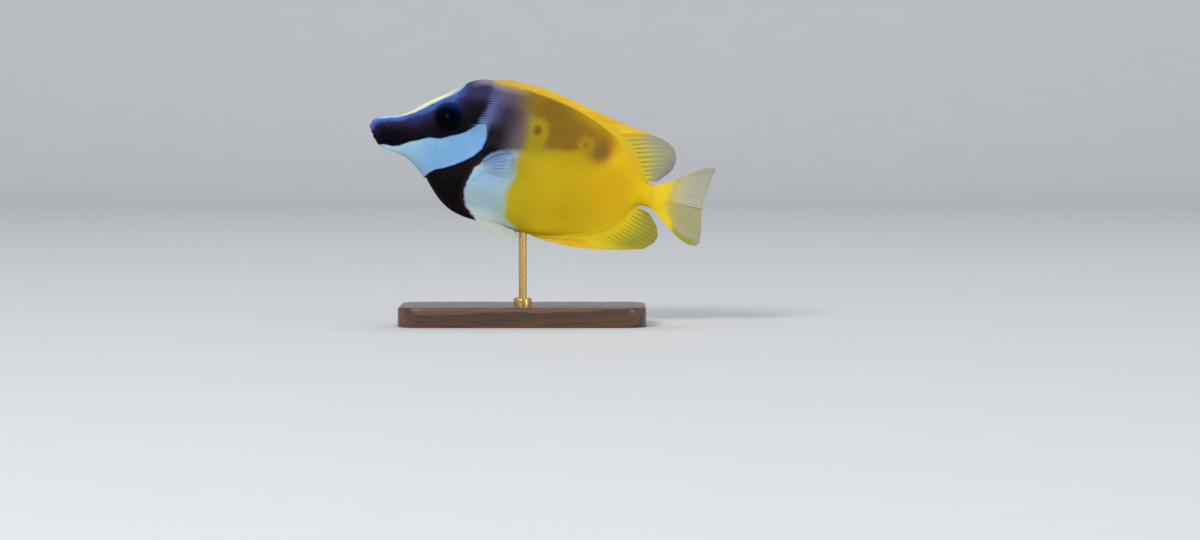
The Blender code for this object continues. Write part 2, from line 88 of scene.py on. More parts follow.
# The fins' guide rays, as in the solids
DORSAL_RAYS, DORSAL_SPINES = 23, 13
DORSAL = [
    (0, [(54, 36.4), (57, 37.5), (60, 38.3), (63.5, 38.9)]),
    (4, [(69, 36.4), (74.5, 37.8), (80, 38.6), (86, 38.4)]),
    (8, [(88, 34.6), (94, 35.6), (100, 35.5), (106.5, 34.2)]),
    (12, [(109.5, 29.9), (116.5, 31), (123.5, 30.9), (131, 30)]),
    (13, [(118, 27), (125, 28.7), (132, 29.3), (139.6, 28.9)]),
    (15, [(126.6, 22.4), (133.6, 24.6), (140.6, 26.2), (148, 27)]),
    (17, [(131.4, 18), (138.4, 20.2), (145.4, 22), (152.6, 23.2)]),
    (19, [(135.8, 12.6), (141.8, 14.5), (147.8, 16.1), (153.7, 17.2)]),
    (21, [(139.8, 7.8), (143.6, 9.1), (147.4, 10.4), (151.2, 11.5)]),
    (22, [(142.3, 5.4), (143.9, 5.9), (145.5, 6.4), (147.2, 7)]),
]
ANAL_RAYS, ANAL_SPINES = 16, 7
ANAL = [
    (0, [(90.6, -33.9), (93.4, -34.8), (96.4, -35.1), (99.5, -35.3)]),
    (3, [(101, -32.4), (105.5, -34.2), (110.2, -35), (115.2, -34.9)]),
    (6, [(111.6, -30.2), (116.8, -32.3), (122, -33.2), (127.6, -32.9)]),
    (7, [(115.6, -29.2), (121.4, -31.3), (127.4, -32.2), (133.6, -31.7)]),
    (9, [(122.6, -26.4), (129.4, -28.6), (136.4, -29.8), (143.6, -29.2)]),
    (11, [(130.4, -20.9), (136.8, -23.2), (143.2, -25.4), (149.8, -26.6)]),
    (13, [(134.8, -15), (141, -16.8), (147.4, -18.6), (153.7, -19.9)]),
    (14, [(136.9, -11.5), (141.8, -12.6), (146.8, -13.8), (151.8, -14.8)]),
    (15, [(139.6, -8), (141.8, -8.4), (144.2, -8.9), (146.8, -9.6)]),
]
CAUDAL_RAYS = 17
CAUDAL = [
    (0, [(146, 4.9), (156, 10), (166, 17.4), (175, 20.3)]),
    (4, [(151, 3.8), (158.4, 7.6), (166, 11.2), (173.2, 13.7)]),
    (8, [(153, -1), (159, -0.9), (165.6, -0.8), (172.1, -0.7)]),
    (12, [(151, -5.8), (158.4, -8.9), (166.4, -11.4), (174.3, -12.5)]),
    (16, [(146, -6.6), (156, -12.9), (165.6, -18.9), (175.2, -19.6)]),
]
PECTORAL_RAYS = 16
PECTORAL = [
    (0, [(59.6, -4.4), (64.4, 0.6), (71, 3.6), (78.4, 4.9)]),
    (3, [(59.4, -5.8), (66.8, -1.2), (75.6, 2.6), (85.4, 5.2)]),
    (7, [(59.1, -7.6), (67.8, -5), (76.8, -2.6), (86.4, -0.4)]),
    (11, [(58.8, -9.4), (66, -9.4), (73.4, -9.4), (81, -9.2)]),
    (15, [(58.4, -11.2), (62.8, -12.8), (67.2, -14.2), (71.4, -15.2)]),
]
PECTORAL_SUNK, PECTORAL_LIFT = 1.0, 4.5
PELVIC_RAYS = 5
PELVIC = [
    (0, [(61.6, -31.8), (67.4, -35), (75.4, -37), (83.6, -37.5)]),
    (2, [(64.4, -31.2), (71, -33.6), (78.4, -35.2), (85.2, -36.3)]),
    (4, [(67.4, -30.6), (72.6, -32), (78, -33.1), (82.8, -33.9)]),
]
PELVIC_ROOT_Y, PELVIC_TIP_Y = 3.4, 4.2

# A spine's ridge at its base and tip, how far a fin's base stays under the skin, and how fast the body's
# half width is taken to fall on outside its outline
SPINE_HEIGHTS = (0.12, 0.1)
FIN_HIDDEN = 0.12
BODY_FALL = 0.45

# The markings, as outlines of (s, h) points on both flanks
CHEEK = [(5.8, -8.2), (9.6, -7.3), (13.7, -7.3), (17, -6), (21.5, -3.1), (26.1, -0.9), (29.8, 1),
         (32.2, 1.6), (35.8, 1.9), (40.4, 4.4), (45, 6.5), (48.5, 9), (50.9, 11.4), (52.9, 13.4),
         (55.4, 14.2), (57.2, 13.4), (57.9, 11), (58.5, 7.5), (57.7, 2.1), (54.4, -2.4), (50.1, -6.1),
         (45.5, -9.3), (40.3, -12.3), (37.2, -13.4), (34.6, -15.9), (32.8, -18.2), (31, -26), (10, -20),
         (3, -12)]
STRIPE = [(-2, -0.4), (0.6, -0.3), (1.2, 1.8), (2.4, 3.6), (4.7, 5.0), (8.3, 6.3), (12.5, 7.5), (17.1, 9.9),
          (20.4, 11.9), (23.7, 14.5), (26.9, 17.3), (30.1, 20), (33.4, 22.5), (36.7, 24.8), (39.9, 27.8),
          (41.8, 30.6), (42.6, 32.5), (43.4, 40), (30, 40), (10, 20), (-2, 10)]
PATCH = [(77.6, 4.6), (73.1, 5.4), (66.5, 3.7), (62.4, 1.1), (60.9, -1.3), (59.1, -4.3), (56.4, -8.1),
         (55.2, -12), (54.1, -15.9), (53.7, -20.7), (55, -25), (57.2, -28.6), (59.7, -30.6), (62.7, -33),
         (64, -44), (84.5, -44), (84.5, -34.4), (82.4, -32.3), (78.8, -30.1), (76.6, -28.6),
         (76.2, -23.5), (74.7, -18.7), (75, -14.5), (76.7, -10.1), (77.3, -6), (76.6, -2), (76.1, 2),
         (76.4, 3.6)]
DARK = [(60.5, 4.5), (63.5, 4.6), (67, 2.5), (67, -30), (66, -44), (28, -44), (28, -20), (36, -13),
        (46, -8), (54, -2), (57, 2)]
LAVENDER = [(43, 40), (43, 34.4), (49.9, 35.4), (54, 34), (56, 30.9), (56.3, 27.1), (55.4, 23),
            (54.4, 18.1), (53.2, 13.6), (49.6, 8), (50, 4), (70, 4), (70, 40)]
PURPLE = [(40, 50), (66, 50), (72, 37), (76, 33.1), (78, 27.8), (79.2, 21.6), (80, 15.3), (79.4, 8.9),
          (77.4, 6.4), (73, 2), (69, -3), (56, -6), (50, -2), (50, 30)]
BROWN = [(64, 50), (64, 30), (74, 24.6), (79, 24), (83.5, 23.8), (86.8, 21.2), (88, 17.5), (87.4, 13),
         (87.4, 10), (92, 9.8), (97, 10.4), (102, 11.4), (106, 13.2), (109.5, 11.4), (112.5, 9.2),
         (115.4, 8.4), (118.5, 9.6), (121.2, 12), (123, 15.2), (123.6, 19), (123, 24), (120, 28.6),
         (111, 34.6), (100, 39), (88, 42), (76, 44)]
SPOTS = [(82.6, 17.6, 0.85), (108.1, 16.2, 1), (116.7, 15, 0.85)]
LINES_APART = 1.25  # the level lines on the nape and shoulder

# Lines of the skin's relief, and the heights where the gill cover's begins, is full, fades and ends
CHEEK_BEND = [(49.5, 13.5), (50.6, 7), (49.6, 0.5), (46, -4.6), (40, -8.4), (33, -11.2)]
FIN_BASE = [(58.5, -4), (58, -8), (57.5, -12)]
GILL_COVER = (-26, -16, 26, 34)
LATERAL_LINE = [(58, 22.5), (66, 24.6), (76, 25.2), (88, 23.8), (100, 20.4), (112, 15), (124, 8.6),
                (134, 3.4), (142, 0), (152, -0.8)]


def smooth(points, at):
    """Reads a smooth curve through the points at each place. Its square-root scale rounds the nose."""
    places, heights = np.array(points, float).T
    places, at = np.sqrt(places), np.sqrt(np.maximum(at, 0))
    slopes = np.gradient(heights, places)
    k = np.clip(np.searchsorted(places, at) - 1, 0, len(places) - 2)
    span = places[k + 1] - places[k]
    t = (at - places[k]) / span
    return (heights[k] * (1 + 2 * t) * (1 - t) ** 2 + slopes[k] * span * t * (1 - t) ** 2
            + heights[k + 1] * t ** 2 * (3 - 2 * t) + slopes[k + 1] * span * t ** 2 * (t - 1))


def body_at(s):
    """Top, bottom, widest height and half width of the body at s."""
    from_end = np.clip((s - (TAIL_END - TAIL_ROUND)) / TAIL_ROUND, 0, 0.985)
    rounding = np.sqrt(1 - from_end ** 2)
    widest = smooth(WIDEST, s)
    top = widest + (smooth(BACK, s) - widest) * rounding
    bottom = widest + (smooth(BELLY, s) - widest) * rounding
    widest = np.clip(widest, bottom + 0.3 * (top - bottom), top - 0.3 * (top - bottom))
    return top, bottom, widest, smooth(HALF_WIDTH, s)


def half_width(s, h):
    """How far the body's surface lies from its middle plane, at s and h."""
    top, bottom, widest, width = body_at(s)
    reach = np.where(h > widest, (h - widest) / (top - widest), (widest - h) / (widest - bottom))
    return width * np.sqrt(np.clip(1 - np.abs(reach) ** SECTION_POWER, 0, 1))


def section(s, reach):
    """The skin's half width at s, some share of the way up or down. Its edges sharpen towards the tail."""
    power = 0.5 + 0.3 * ramp(98, 124, s) * (1 - ramp(134, 146, s))
    narrowing = 1 - 0.5 * ramp(144.5, 152, s)
    return smooth(HALF_WIDTH, s) * narrowing * (1 - np.clip(reach, 0, 1) ** SECTION_POWER) ** power


def ramp(low, high, value):
    """0 below low, 1 above high and a smooth rise between."""
    t = np.clip((value - low) / (high - low), 0, 1)
    return t * t * (3 - 2 * t)


def swell(gap, wide, power=2):
    """1 at no gap, falling off to nothing over about twice this width."""
    return np.exp(-(gap / wide) ** power)


def gill_edge_s(h):
    """Where the gill cover ends at this height."""
    edge_h, edge_s = np.array(sorted((h, s) for s, h in GILL_EDGE)).T
    return np.interp(h, edge_h, edge_s)


def gill_recess(s, h):
    """How far the body lies under the gill cover's edge: a step there that fades towards the tail."""
    behind = s - gill_edge_s(h)
    inside = np.clip((h - GILL_COVER[0]) / 9, 0, 1) * np.clip((GILL_COVER[3] - h) / 16, 0, 1)
    return GILL_STEP * ramp(0, 0.7, behind) * np.exp(-np.maximum(behind, 0) / GILL_STEP_FADE) * inside


def from_segment(p, one, two):
    """How far points lie from a segment, and what share of it their nearest point has passed."""
    along = two - one
    t = np.clip(((p - one) @ along) / (along @ along), 0, 1)
    return np.linalg.norm(p - one - t[..., None] * along, axis=-1), t


def signed_distance(outline, s, h):
    """How far each (s, h) lies inside the outline: positive inside, negative outside."""
    a = np.array(outline, float)
    best = np.full(s.shape, np.inf)
    inside = np.zeros(s.shape, bool)
    for one, two in zip(a, np.roll(a, -1, 0)):
        best = np.minimum(best, from_segment(np.stack([s, h], -1), one, two)[0])
        with np.errstate(divide="ignore", invalid="ignore"):
            where = one[0] + (h - one[1]) / (two[1] - one[1]) * (two[0] - one[0])
        inside ^= ((one[1] > h) != (two[1] > h)) & (s < where)
    return np.where(inside, best, -best)


def line_distance(line, s, h):
    """How far each (s, h) lies from an open line, and how far along the line its nearest point is."""
    a = np.array(line, float)
    best, reach, done = np.full(s.shape, np.inf), np.zeros(s.shape), 0.0
    for one, two in zip(a[:-1], a[1:]):
        length = np.linalg.norm(two - one)
        gap, t = from_segment(np.stack([s, h], -1), one, two)
        nearer = gap < best
        best, reach = np.where(nearer, gap, best), np.where(nearer, done + t * length, reach)
        done += length
    return best, reach


belly_at_rod = float(body_at(ROD_PLACE_S)[1])
LIP_X = -(ROD_PLACE_S * math.cos(NOSE_UP) + belly_at_rod * math.sin(NOSE_UP))


def picture_middle():
    """The scene point in the middle of the picture."""
    right = (PICTURE[0] / 2 - LIPS_IN_PICTURE[0]) * MM_PER_PIXEL
    down = (PICTURE[1] / 2 - LIPS_IN_PICTURE[1]) * MM_PER_PIXEL
    return np.array([LIP_X + right, 0, LIP_HEIGHT - down]) * MM


def camera_place():
    """Where the camera stands, a little above the picture's middle."""
    return picture_middle() + CAMERA_AWAY * np.array([0, -math.cos(CAMERA_RAISED), math.sin(CAMERA_RAISED)])


def place(points):
    """Points of the fish's frame, s, y and h in millimetres, as points of the scene."""
    s, y, h = np.moveaxis(np.asarray(points, float), -1, 0)
    x = LIP_X + s * math.cos(NOSE_UP) + h * math.sin(NOSE_UP)
    z = LIP_HEIGHT - s * math.sin(NOSE_UP) + h * math.cos(NOSE_UP)
    return np.stack([x, y, z], -1) * MM


def as_pictured(s, y, h):
    """Where points of the body show on its middle plane, seen from the picture's side."""
    eye = camera_place()
    points = place(np.stack([s, -np.abs(y), h], -1))
    flat = eye + (points - eye) * (eye[1] / (eye[1] - points[..., 1]))[..., None]
    x, z = flat[..., 0] / MM - LIP_X, flat[..., 2] / MM - LIP_HEIGHT
    return x * math.cos(NOSE_UP) - z * math.sin(NOSE_UP), x * math.sin(NOSE_UP) + z * math.cos(NOSE_UP)


def mesh_object(name, points, faces, attributes=None, uv=None, merge=0.0):
    """A smooth-shaded piece from scene points and faces, with numbers stored at its points.

    Points closer together than merge, in metres, become one.
    """
    mesh = bpy.data.meshes.new(name)
    mesh.from_pydata([tuple(p) for p in points], [], [tuple(f) for f in faces])
    for key, values in (attributes or {}).items():
        layer = mesh.attributes.new(key, "FLOAT", "POINT")
        layer.data.foreach_set("value", np.asarray(values, np.float32).ravel())
    if uv is not None:
        layer = mesh.uv_layers.new(name="UVMap")
        corners = np.empty(len(mesh.loops), int)
        mesh.loops.foreach_get("vertex_index", corners)
        layer.data.foreach_set("uv", np.asarray(uv, np.float32)[corners].ravel())
    shape = bmesh.new()
    shape.from_mesh(mesh)
    if merge:
        bmesh.ops.remove_doubles(shape, verts=shape.verts, dist=merge)
    bmesh.ops.recalc_face_normals(shape, faces=shape.faces)
    shape.to_mesh(mesh)
    shape.free()
    mesh.shade_smooth()
    made = bpy.data.objects.new(name, mesh)
    bpy.context.scene.collection.objects.link(made)
    return made


def grid_faces(columns, rows, round_columns=False, round_rows=False):
    """Quads of a grid whose points are numbered row by row within each column, closed round if asked."""
    c = np.arange(columns if round_columns else columns - 1)[:, None]
    r = np.arange(rows if round_rows else rows - 1)[None, :]
    a, b, up = c * rows, (c + 1) % columns * rows, (r + 1) % rows
    return np.stack([a + r, b + r, b + up, a + up], -1).reshape(-1, 4)


# Skin ---------------------------------------------------------------------------------------------
def eye_facing(side):
    """The direction an eye looks in, square to the body's surface around it."""
    s, h = EYE_PLACE
    step = EYE_RADIUS * 0.8
    along = float(half_width(s + step, h) - half_width(s - step, h)) / (2 * step)
    up = float(half_width(s, h + step) - half_width(s, h - step)) / (2 * step)
    facing = np.array([-along, side, -up])
    return facing / np.linalg.norm(facing)


def eye_centre(side):
    """Where an eye sits in the body's surface."""
    return np.array([EYE_PLACE[0], side * float(half_width(*EYE_PLACE)), EYE_PLACE[1]])


def mouth_height(s):
    """How high the mouth's slit lies at s."""
    (s0, h0), (s1, h1) = MOUTH_FRONT, MOUTH_CORNER
    return h0 + (h1 - h0) * (s - s0) / (s1 - s0)


def skin_relief(s, y, h):
    """How far the skin stands out from the body's plain surface: lips, nostrils, gill cover and folds."""
    seen_s, seen_h = as_pictured(s, y, h)
    behind = seen_s - gill_edge_s(seen_h)
    cover = ramp(*GILL_COVER[:2], h) * (1 - ramp(*GILL_COVER[2:], h))
    lower = 1 - 0.9 * ramp(9, 17, h)
    out = -gill_recess(seen_s, seen_h) * lower
    out += 0.3 * swell(behind + 1.3, 1.1) * cover * (behind < 0) * lower
    out -= 0.4 * swell(behind - 0.3, 0.45) * cover * lower
    gap, reach = line_distance(CHEEK_BEND, s, h)
    out += 0.16 * swell(gap, 1.2) * ramp(0, 6, reach) * (1 - ramp(26, 34, reach))
    above = h - mouth_height(s)
    out -= 0.5 * swell(above, 0.22) * (1 - ramp(6.2, 7.8, s))
    out += 0.26 * swell(above - 0.8, 0.6) * (1 - ramp(4.6, 7.2, s))
    out += 0.28 * swell(above + 0.85, 0.55) * (1 - ramp(5.4, 7.4, s))
    for (ns, nh), radius in NOSTRILS:
        r = np.hypot((s - ns) / 1.2, h - nh) / radius
        out += np.where(np.abs(y) > 1, 0.16 * swell(r - 1.4, 0.4) - 0.6 * swell(r, 0.8, 4), 0)
    r = np.hypot(s - EYE_PLACE[0], h - EYE_PLACE[1])
    out += 0.12 * swell(r - 7.2, 0.8)
    gap, reach = line_distance(LATERAL_LINE, s, h)
    out += 0.03 * swell(gap, 0.4) * (0.6 + 0.4 * np.cos(reach * 2 * math.pi / 1.5)) * ramp(0, 3, reach)
    return out + 0.6 * swell(line_distance(FIN_BASE, s, h)[0], 1.7)


def skin():
    """Head, torso and tail in one surface, its rings close together where the detail is finest."""
    quick = 1
    nose_end, head_end, trunk_end = 9, 64, 140
    nose = nose_end * np.linspace(0.03, 1, 60 // quick) ** 2
    head = np.linspace(nose_end, head_end, 180 // quick)[1:]
    trunk = np.linspace(head_end, trunk_end, 150 // quick)[1:]
    stalk = np.linspace(trunk_end, TAIL_END - TAIL_ROUND, 20 // quick)[1:]
    end = TAIL_END + TAIL_ROUND * (np.sin(np.linspace(0, 1.55, 22)[1:]) - 1)
    places = np.concatenate([nose, head, trunk, stalk, end])
    around = 320 // quick
    angles = np.arange(around) * 2 * math.pi / around
    s = np.repeat(places[:, None], around, 1)
    up = np.sin(angles)[None, :]
    top, bottom, widest = (v[:, None] for v in body_at(places)[:3])
    h = widest + np.where(up > 0, up * (top - widest), up * (widest - bottom))
    y = section(s, np.abs(up)) * np.sign(np.cos(angles))[None, :]
    base = np.stack([s, y, h], -1)
    along = np.gradient(base, axis=0)
    across = (np.roll(base, -1, 1) - np.roll(base, 1, 1)) / 2
    normal = np.cross(across, along)
    normal /= np.maximum(np.linalg.norm(normal, axis=-1, keepdims=True), 1e-9)
    outside = np.sum(normal * np.stack([np.zeros_like(s), y, h - widest], -1), -1)
    normal *= np.where(np.sum(outside) < 0, -1, 1)
    shaped = base + normal * (skin_relief(s, y, h) * ramp(0, 2.2, s))[..., None]
    for side in (-1, 1):
        facing, off = eye_facing(side), shaped - eye_centre(side)
        depth = off @ facing
        flat = np.linalg.norm(off - depth[..., None] * facing, axis=-1)
        sunk = EYE_SOCKET_DEPTH * (1 - ramp(EYE_OPENING - 0.7, EYE_OPENING + 0.1, flat)) * (y * side > 0)
        shaped = shaped - facing * sunk[..., None]
    arc = np.cumsum(np.linalg.norm(np.diff(base, axis=1, append=base[:, :1]), axis=-1), axis=1)
    from_top = np.abs(arc - arc[:, around // 4:around // 4 + 1])
    from_top = np.minimum(from_top, arc[:, -1:] - from_top)
    faces = list(grid_faces(len(places), around, round_rows=True))
    faces += [range(around), (len(places) - 1) * around + np.arange(around)]
    attributes = {
        "from_back": top - h, "from_belly": h - bottom,
        "eye_gap": np.hypot(s - EYE_PLACE[0], h - EYE_PLACE[1]),
        "mouth": np.where(s < 9, np.abs(h - mouth_height(s)) + 4 * ramp(6.5, 8.5, s), 9),
        "line": line_distance(LATERAL_LINE, s, h)[0],
    }
    s, h = as_pictured(s, y, h)
    attributes |= {"fish_s": s, "fish_h": h, "behind_gill": s - gill_edge_s(h)}
    outlines = {"cheek": CHEEK, "stripe": STRIPE, "patch": PATCH, "chest": DARK, "purple": PURPLE,
                "lavender": LAVENDER, "brown": BROWN}
    attributes |= {name: signed_distance(outline, s, h) for name, outline in outlines.items()}
    for letter, (spot_s, spot_h, wide) in zip("abc", SPOTS):
        attributes[f"spot_{letter}"] = np.hypot((s - spot_s) / wide, h - spot_h)
    uv = np.stack([base[..., 0], from_top], -1).reshape(-1, 2) * UV_PER_MM
    made = mesh_object("skin", place(shaped).reshape(-1, 3), faces, attributes, uv)
    made.data.materials.append(skin_material())
    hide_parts("head", "torso", "tail")
    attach(made, "root")


# Nodes --------------------------------------------------------------------------------------------
class Maker:
    """Builds one material's nodes. Colours are given as (red, green, blue) from 0 to 255."""

    def __init__(self, name):
        self.material = bpy.data.materials.new(name)
        self.material.use_nodes = True
        self.tree = self.material.node_tree

    def put(self, node, inputs):
        """Sets a node's inputs to numbers or colours, or links them to other nodes' outputs."""
        for key, value in inputs.items():
            if isinstance(value, bpy.types.NodeSocket):
                self.tree.links.new(value, node.inputs[key])
            else:
                node.inputs[key].default_value = value

    def node(self, kind, inputs=None, **settings):
        made = self.tree.nodes.new(kind)
        for key, value in settings.items():
            setattr(made, key, value)
        self.put(made, inputs or {})
        return made

    def surface(self, inputs):
        """Gives the shader its inputs, and returns the finished material."""
        self.put(self.tree.nodes["Principled BSDF"], inputs)
        return self.material

    def attribute(self, name):
        return self.node("ShaderNodeAttribute", attribute_name=name).outputs["Fac"]

    def attributes(self, *names):
        return [self.attribute(name) for name in names]

    def math(self, operation, *values):
        return self.node("ShaderNodeMath", dict(enumerate(values)), operation=operation).outputs[0]

    def times(self, product, *others):
        """All the values multiplied."""
        for other in others:
            product = self.math("MULTIPLY", product, other)
        return product

    def minus(self, one, two):
        return self.math("SUBTRACT", one, two)

    def apart(self, one, two):
        """How far two values are apart."""
        return self.math("ABSOLUTE", self.minus(one, two))

    def plus(self, value, source, amount):
        """The value with so much of a source added."""
        return self.math("MULTIPLY_ADD", source, amount, value)

    def ragged(self, value, source, amount):
        """The value moved up and down by so much of a source that goes from 0 to 1."""
        return self.plus(value, self.minus(source, 0.5), amount)

    def step(self, value, low, high, bottom=0.0, top=1.0):
        """A smooth rise from bottom to top as the value goes from low to high."""
        inputs = {"Value": value, "From Min": low, "From Max": high, "To Min": bottom, "To Max": top}
        return self.node("ShaderNodeMapRange", inputs, interpolation_type="SMOOTHSTEP").outputs["Result"]

    def mix(self, share, under, over):
        """One colour with a share of another over it."""
        under, over = (colour(c) if isinstance(c, tuple) else c for c in (under, over))
        return self.node("ShaderNodeMix", {0: share, 6: under, 7: over}, data_type="RGBA").outputs[2]

    def layers(self, base, *coats):
        """A colour with coats over it. A coat has one or more shares, which are multiplied, and a colour.

        A share is a value or, in brackets, what step() takes.
        """
        for *shares, over in coats:
            shares = [self.step(*share) if isinstance(share, tuple) else share for share in shares]
            base = self.mix(self.times(*shares), base, over)
        return base

    def gradient(self, value, stops):
        """A colour that goes through the stops as the value goes from 0 to 1."""
        made = self.node("ShaderNodeValToRGB", {"Fac": value})
        elements = made.color_ramp.elements
        while len(elements) < len(stops):
            elements.new(0.5)
        for element, (at, rgb) in zip(elements, stops):
            element.position = at
            element.color = colour(rgb)
        return made.outputs["Color"]

    def coordinates(self, where):
        return self.node("ShaderNodeTexCoord").outputs[where]

    def mapped(self, where, scale, shift=0.0, turn=(0, 0, 0)):
        """Coordinates that are stretched, shifted and turned."""
        return self.node("ShaderNodeMapping", {
            "Vector": self.coordinates(where), "Location": (shift, shift, shift),
            "Rotation": turn, "Scale": scale}).outputs[0]

    def noise(self, scale, detail, stretch=(1, 1, 1), where="Object", shift=0.0):
        return self.node("ShaderNodeTexNoise", {
            "Vector": self.mapped(where, stretch, shift), "Scale": scale, "Detail": detail}).outputs["Fac"]

    def wave(self, direction, vector, scale, wander, detail=2.0, fine=1.0, profile="SIN"):
        """Bands across a direction, from 0 to 1, that wander."""
        return self.node("ShaderNodeTexWave", {
            "Vector": vector, "Scale": scale, "Distortion": wander, "Detail": detail, "Detail Scale": fine,
        }, wave_type="BANDS", bands_direction=direction, wave_profile=profile).outputs["Fac"]

    def bump(self, height, strength, distance, below=None):
        """A bump in metres, over the one below it."""
        inputs = {"Height": height, "Strength": strength, "Distance": distance}
        if below is not None:
            inputs["Normal"] = below
        return self.node("ShaderNodeBump", inputs).outputs["Normal"]


def between_rays(m, wide=0.36):
    """0 on each ray and 1 midway between two."""
    return m.step(m.math("PINGPONG", m.attribute("strand"), 0.5), 0.5 - wide, 0.44)


def colour(rgb):
    """A display colour, from 0 to 255, as the linear one that a material takes."""
    linear = [(c / 255) / 12.92 if c <= 10 else ((c / 255 + 0.055) / 1.055) ** 2.4 for c in rgb]
    return (*linear, 1)


def mantle(m, lines):
    """The lavender to purple zone behind the eye band, from its colours low, midway and high up."""
    s, h = m.attributes("fish_s", "fish_h")
    comb = m.times(m.minus(lines, 0.5), m.step(s, 68, 58, 0.01, 0.05))
    along = m.math("ADD", m.math("DIVIDE", m.minus(s, 50), 30), comb)
    low = m.gradient(along, [
        (0.0, (100, 128, 166)), (0.2, (96, 130, 172)), (0.27, (44, 58, 84)), (0.35, (22, 20, 30)),
        (0.5, (32, 26, 32)), (0.6, (54, 46, 55)), (0.73, (80, 72, 79)), (0.86, (98, 88, 80)),
        (0.93, (116, 104, 60)), (1.0, (128, 115, 34))])
    mid = m.gradient(along, [
        (0.0, (8, 7, 19)), (0.08, (14, 12, 28)), (0.15, (54, 58, 95)), (0.21, (82, 92, 138)),
        (0.29, (76, 82, 122)), (0.39, (52, 52, 78)), (0.5, (46, 39, 56)), (0.66, (62, 49, 62)),
        (0.8, (90, 74, 77)), (0.92, (124, 108, 64)), (1.0, (136, 118, 46))])
    high = m.gradient(along, [
        (0.0, (45, 44, 76)), (0.14, (48, 48, 80)), (0.22, (62, 65, 100)), (0.33, (76, 78, 108)),
        (0.5, (78, 73, 93)), (0.6, (80, 71, 84)), (0.7, (98, 79, 68)), (0.8, (110, 87, 48)),
        (1.0, (116, 91, 38))])
    near = m.times(m.step(s, 66, 58), m.step(h, 11, 17), m.step(h, 34, 29),
                   m.step(m.noise(160, 2, shift=4.4), 0.36, 0.6, 0.35, 1))
    tint = m.layers(
        m.mix(m.step(h, 11, 21), low, mid),
        ((h, 22, 30), high),
        ((h, 31, 35), (s, 49, 62), (s, 82, 66, 0, 0.85), (126, 116, 106)),
        ((lines, 0.35, 0.95, 0, 0.3), near, (112, 120, 178)),
        ((lines, 0.6, 0.1, 0, 0.3), near, (36, 34, 66)))
    down = m.attribute("from_back")
    crown = m.layers((146, 130, 100), ((s, 58, 68), (146, 116, 46)), ((s, 70, 82), (132, 102, 36)))
    return m.layers(
        nape(m, tint),
        ((s, 52, 62), (s, 84, 71, 0, 0.85), (down, 3.6, 0.4), crown),
        ((down, 1.9, 0.2, 0, 0.85), (s, 53, 59), (184, 150, 72)))


def nape(m, under):
    """The pale top of the nape over the colour under it."""
    s = m.attribute("fish_s")
    down = m.ragged(m.attribute("from_back"), m.noise(150, 3, shift=6.1), 3.0)
    return m.layers(under, ((down, 4.4, 0.0, 0, 0.85), (s, 42, 52), (s, 70, 53), (132, 126, 144)))


def head_colours(m, mask, lines, patchy):
    """The eye band, cheek patch and pale forehead stripe."""
    s, h = m.attributes("fish_s", "fish_h")
    depth = m.times(m.attribute("stripe"), m.step(s, 14, 24, -1.8, -1.0))
    depth = m.ragged(depth, m.noise(130, 3, shift=3.1), 7.0)
    # The band runs from blue under the stripe to near black: its own navy colour, with a painted blue sheen
    # along its upper edge.
    band = m.gradient(m.math("DIVIDE", depth, 14), [
        (0.0, (66, 94, 156)), (0.15, (62, 86, 146)), (0.3, (34, 38, 84)), (0.46, (24, 21, 50)),
        (0.66, (12, 10, 26)), (1.0, (3, 3, 12))])
    band = m.layers(
        band,
        ((m.noise(170, 3, stretch=(1, 1, 2.2), shift=1.1), 0.45, 0.7, 0, 0.35), (26, 15, 30)),
        ((s, 38, 46), (h, 23, 29), (44, 43, 78)))
    edge = m.ragged(m.attribute("lavender"), lines, 1.2)
    edge = m.ragged(edge, m.noise(330, 2, shift=5.2), 4.5)
    band = m.mix(m.step(edge, -1.9, 1.7), nape(m, band), mantle(m, lines))
    cheek = m.layers(
        (114, 158, 196),
        ((h, -12, 4), (107, 152, 196)),
        ((s, 36, 18), (148, 184, 206)),
        ((s, 22, 12), (h, -6, -9), (182, 212, 222)),
        ((h, 6, 13), (104, 140, 180)),
        ((patchy, 0.45, 0.62, 0, 0.3), (136, 175, 208)),
        ((m.attribute("behind_gill"), -2.6, -0.6), (h, 3, -5), (s, 32, 38, 0, 0.6), (92, 152, 218)),
        ((h, -13, -18, 0, 0.7), (s, 26, 31), (144, 162, 206)),
        ((m.noise(420, 1, shift=2.2), 0.75, 0.79, 0, 0.35), (74, 96, 128)))
    off = m.math("DIVIDE", m.minus(s, 26.5), 13)
    crown = m.math("SQRT", m.math("MAXIMUM", m.plus(1, off, m.times(off, -1)), 0))
    cream = m.step(m.minus(m.attribute("from_back"), m.times(crown, 1.9)), 0.4, -1.1)
    stripe = m.layers(
        (154, 190, 238),
        ((s, 12, 20), (172, 198, 222)),
        ((s, 7, 1.5, 0, 0.85), (72, 76, 148)),
        ((s, 33, 38), (140, 168, 212)),
        (cream, (213, 214, 156)))
    mouth = m.attribute("mouth")
    return m.layers(
        band,
        (mask("cheek", 0.5, 0.7), cheek),
        (mask("stripe", 0.5, 0.5), stripe),
        ((mouth, 2.2, 0.8, 0, 0.5), (20, 17, 34)),
        # Painted shade: near black in the mouth's slit.
        ((mouth, 0.45, 0.12, 0, m.step(s, 8.2, 7.2, 0, 0.9)), (6, 4, 8)))


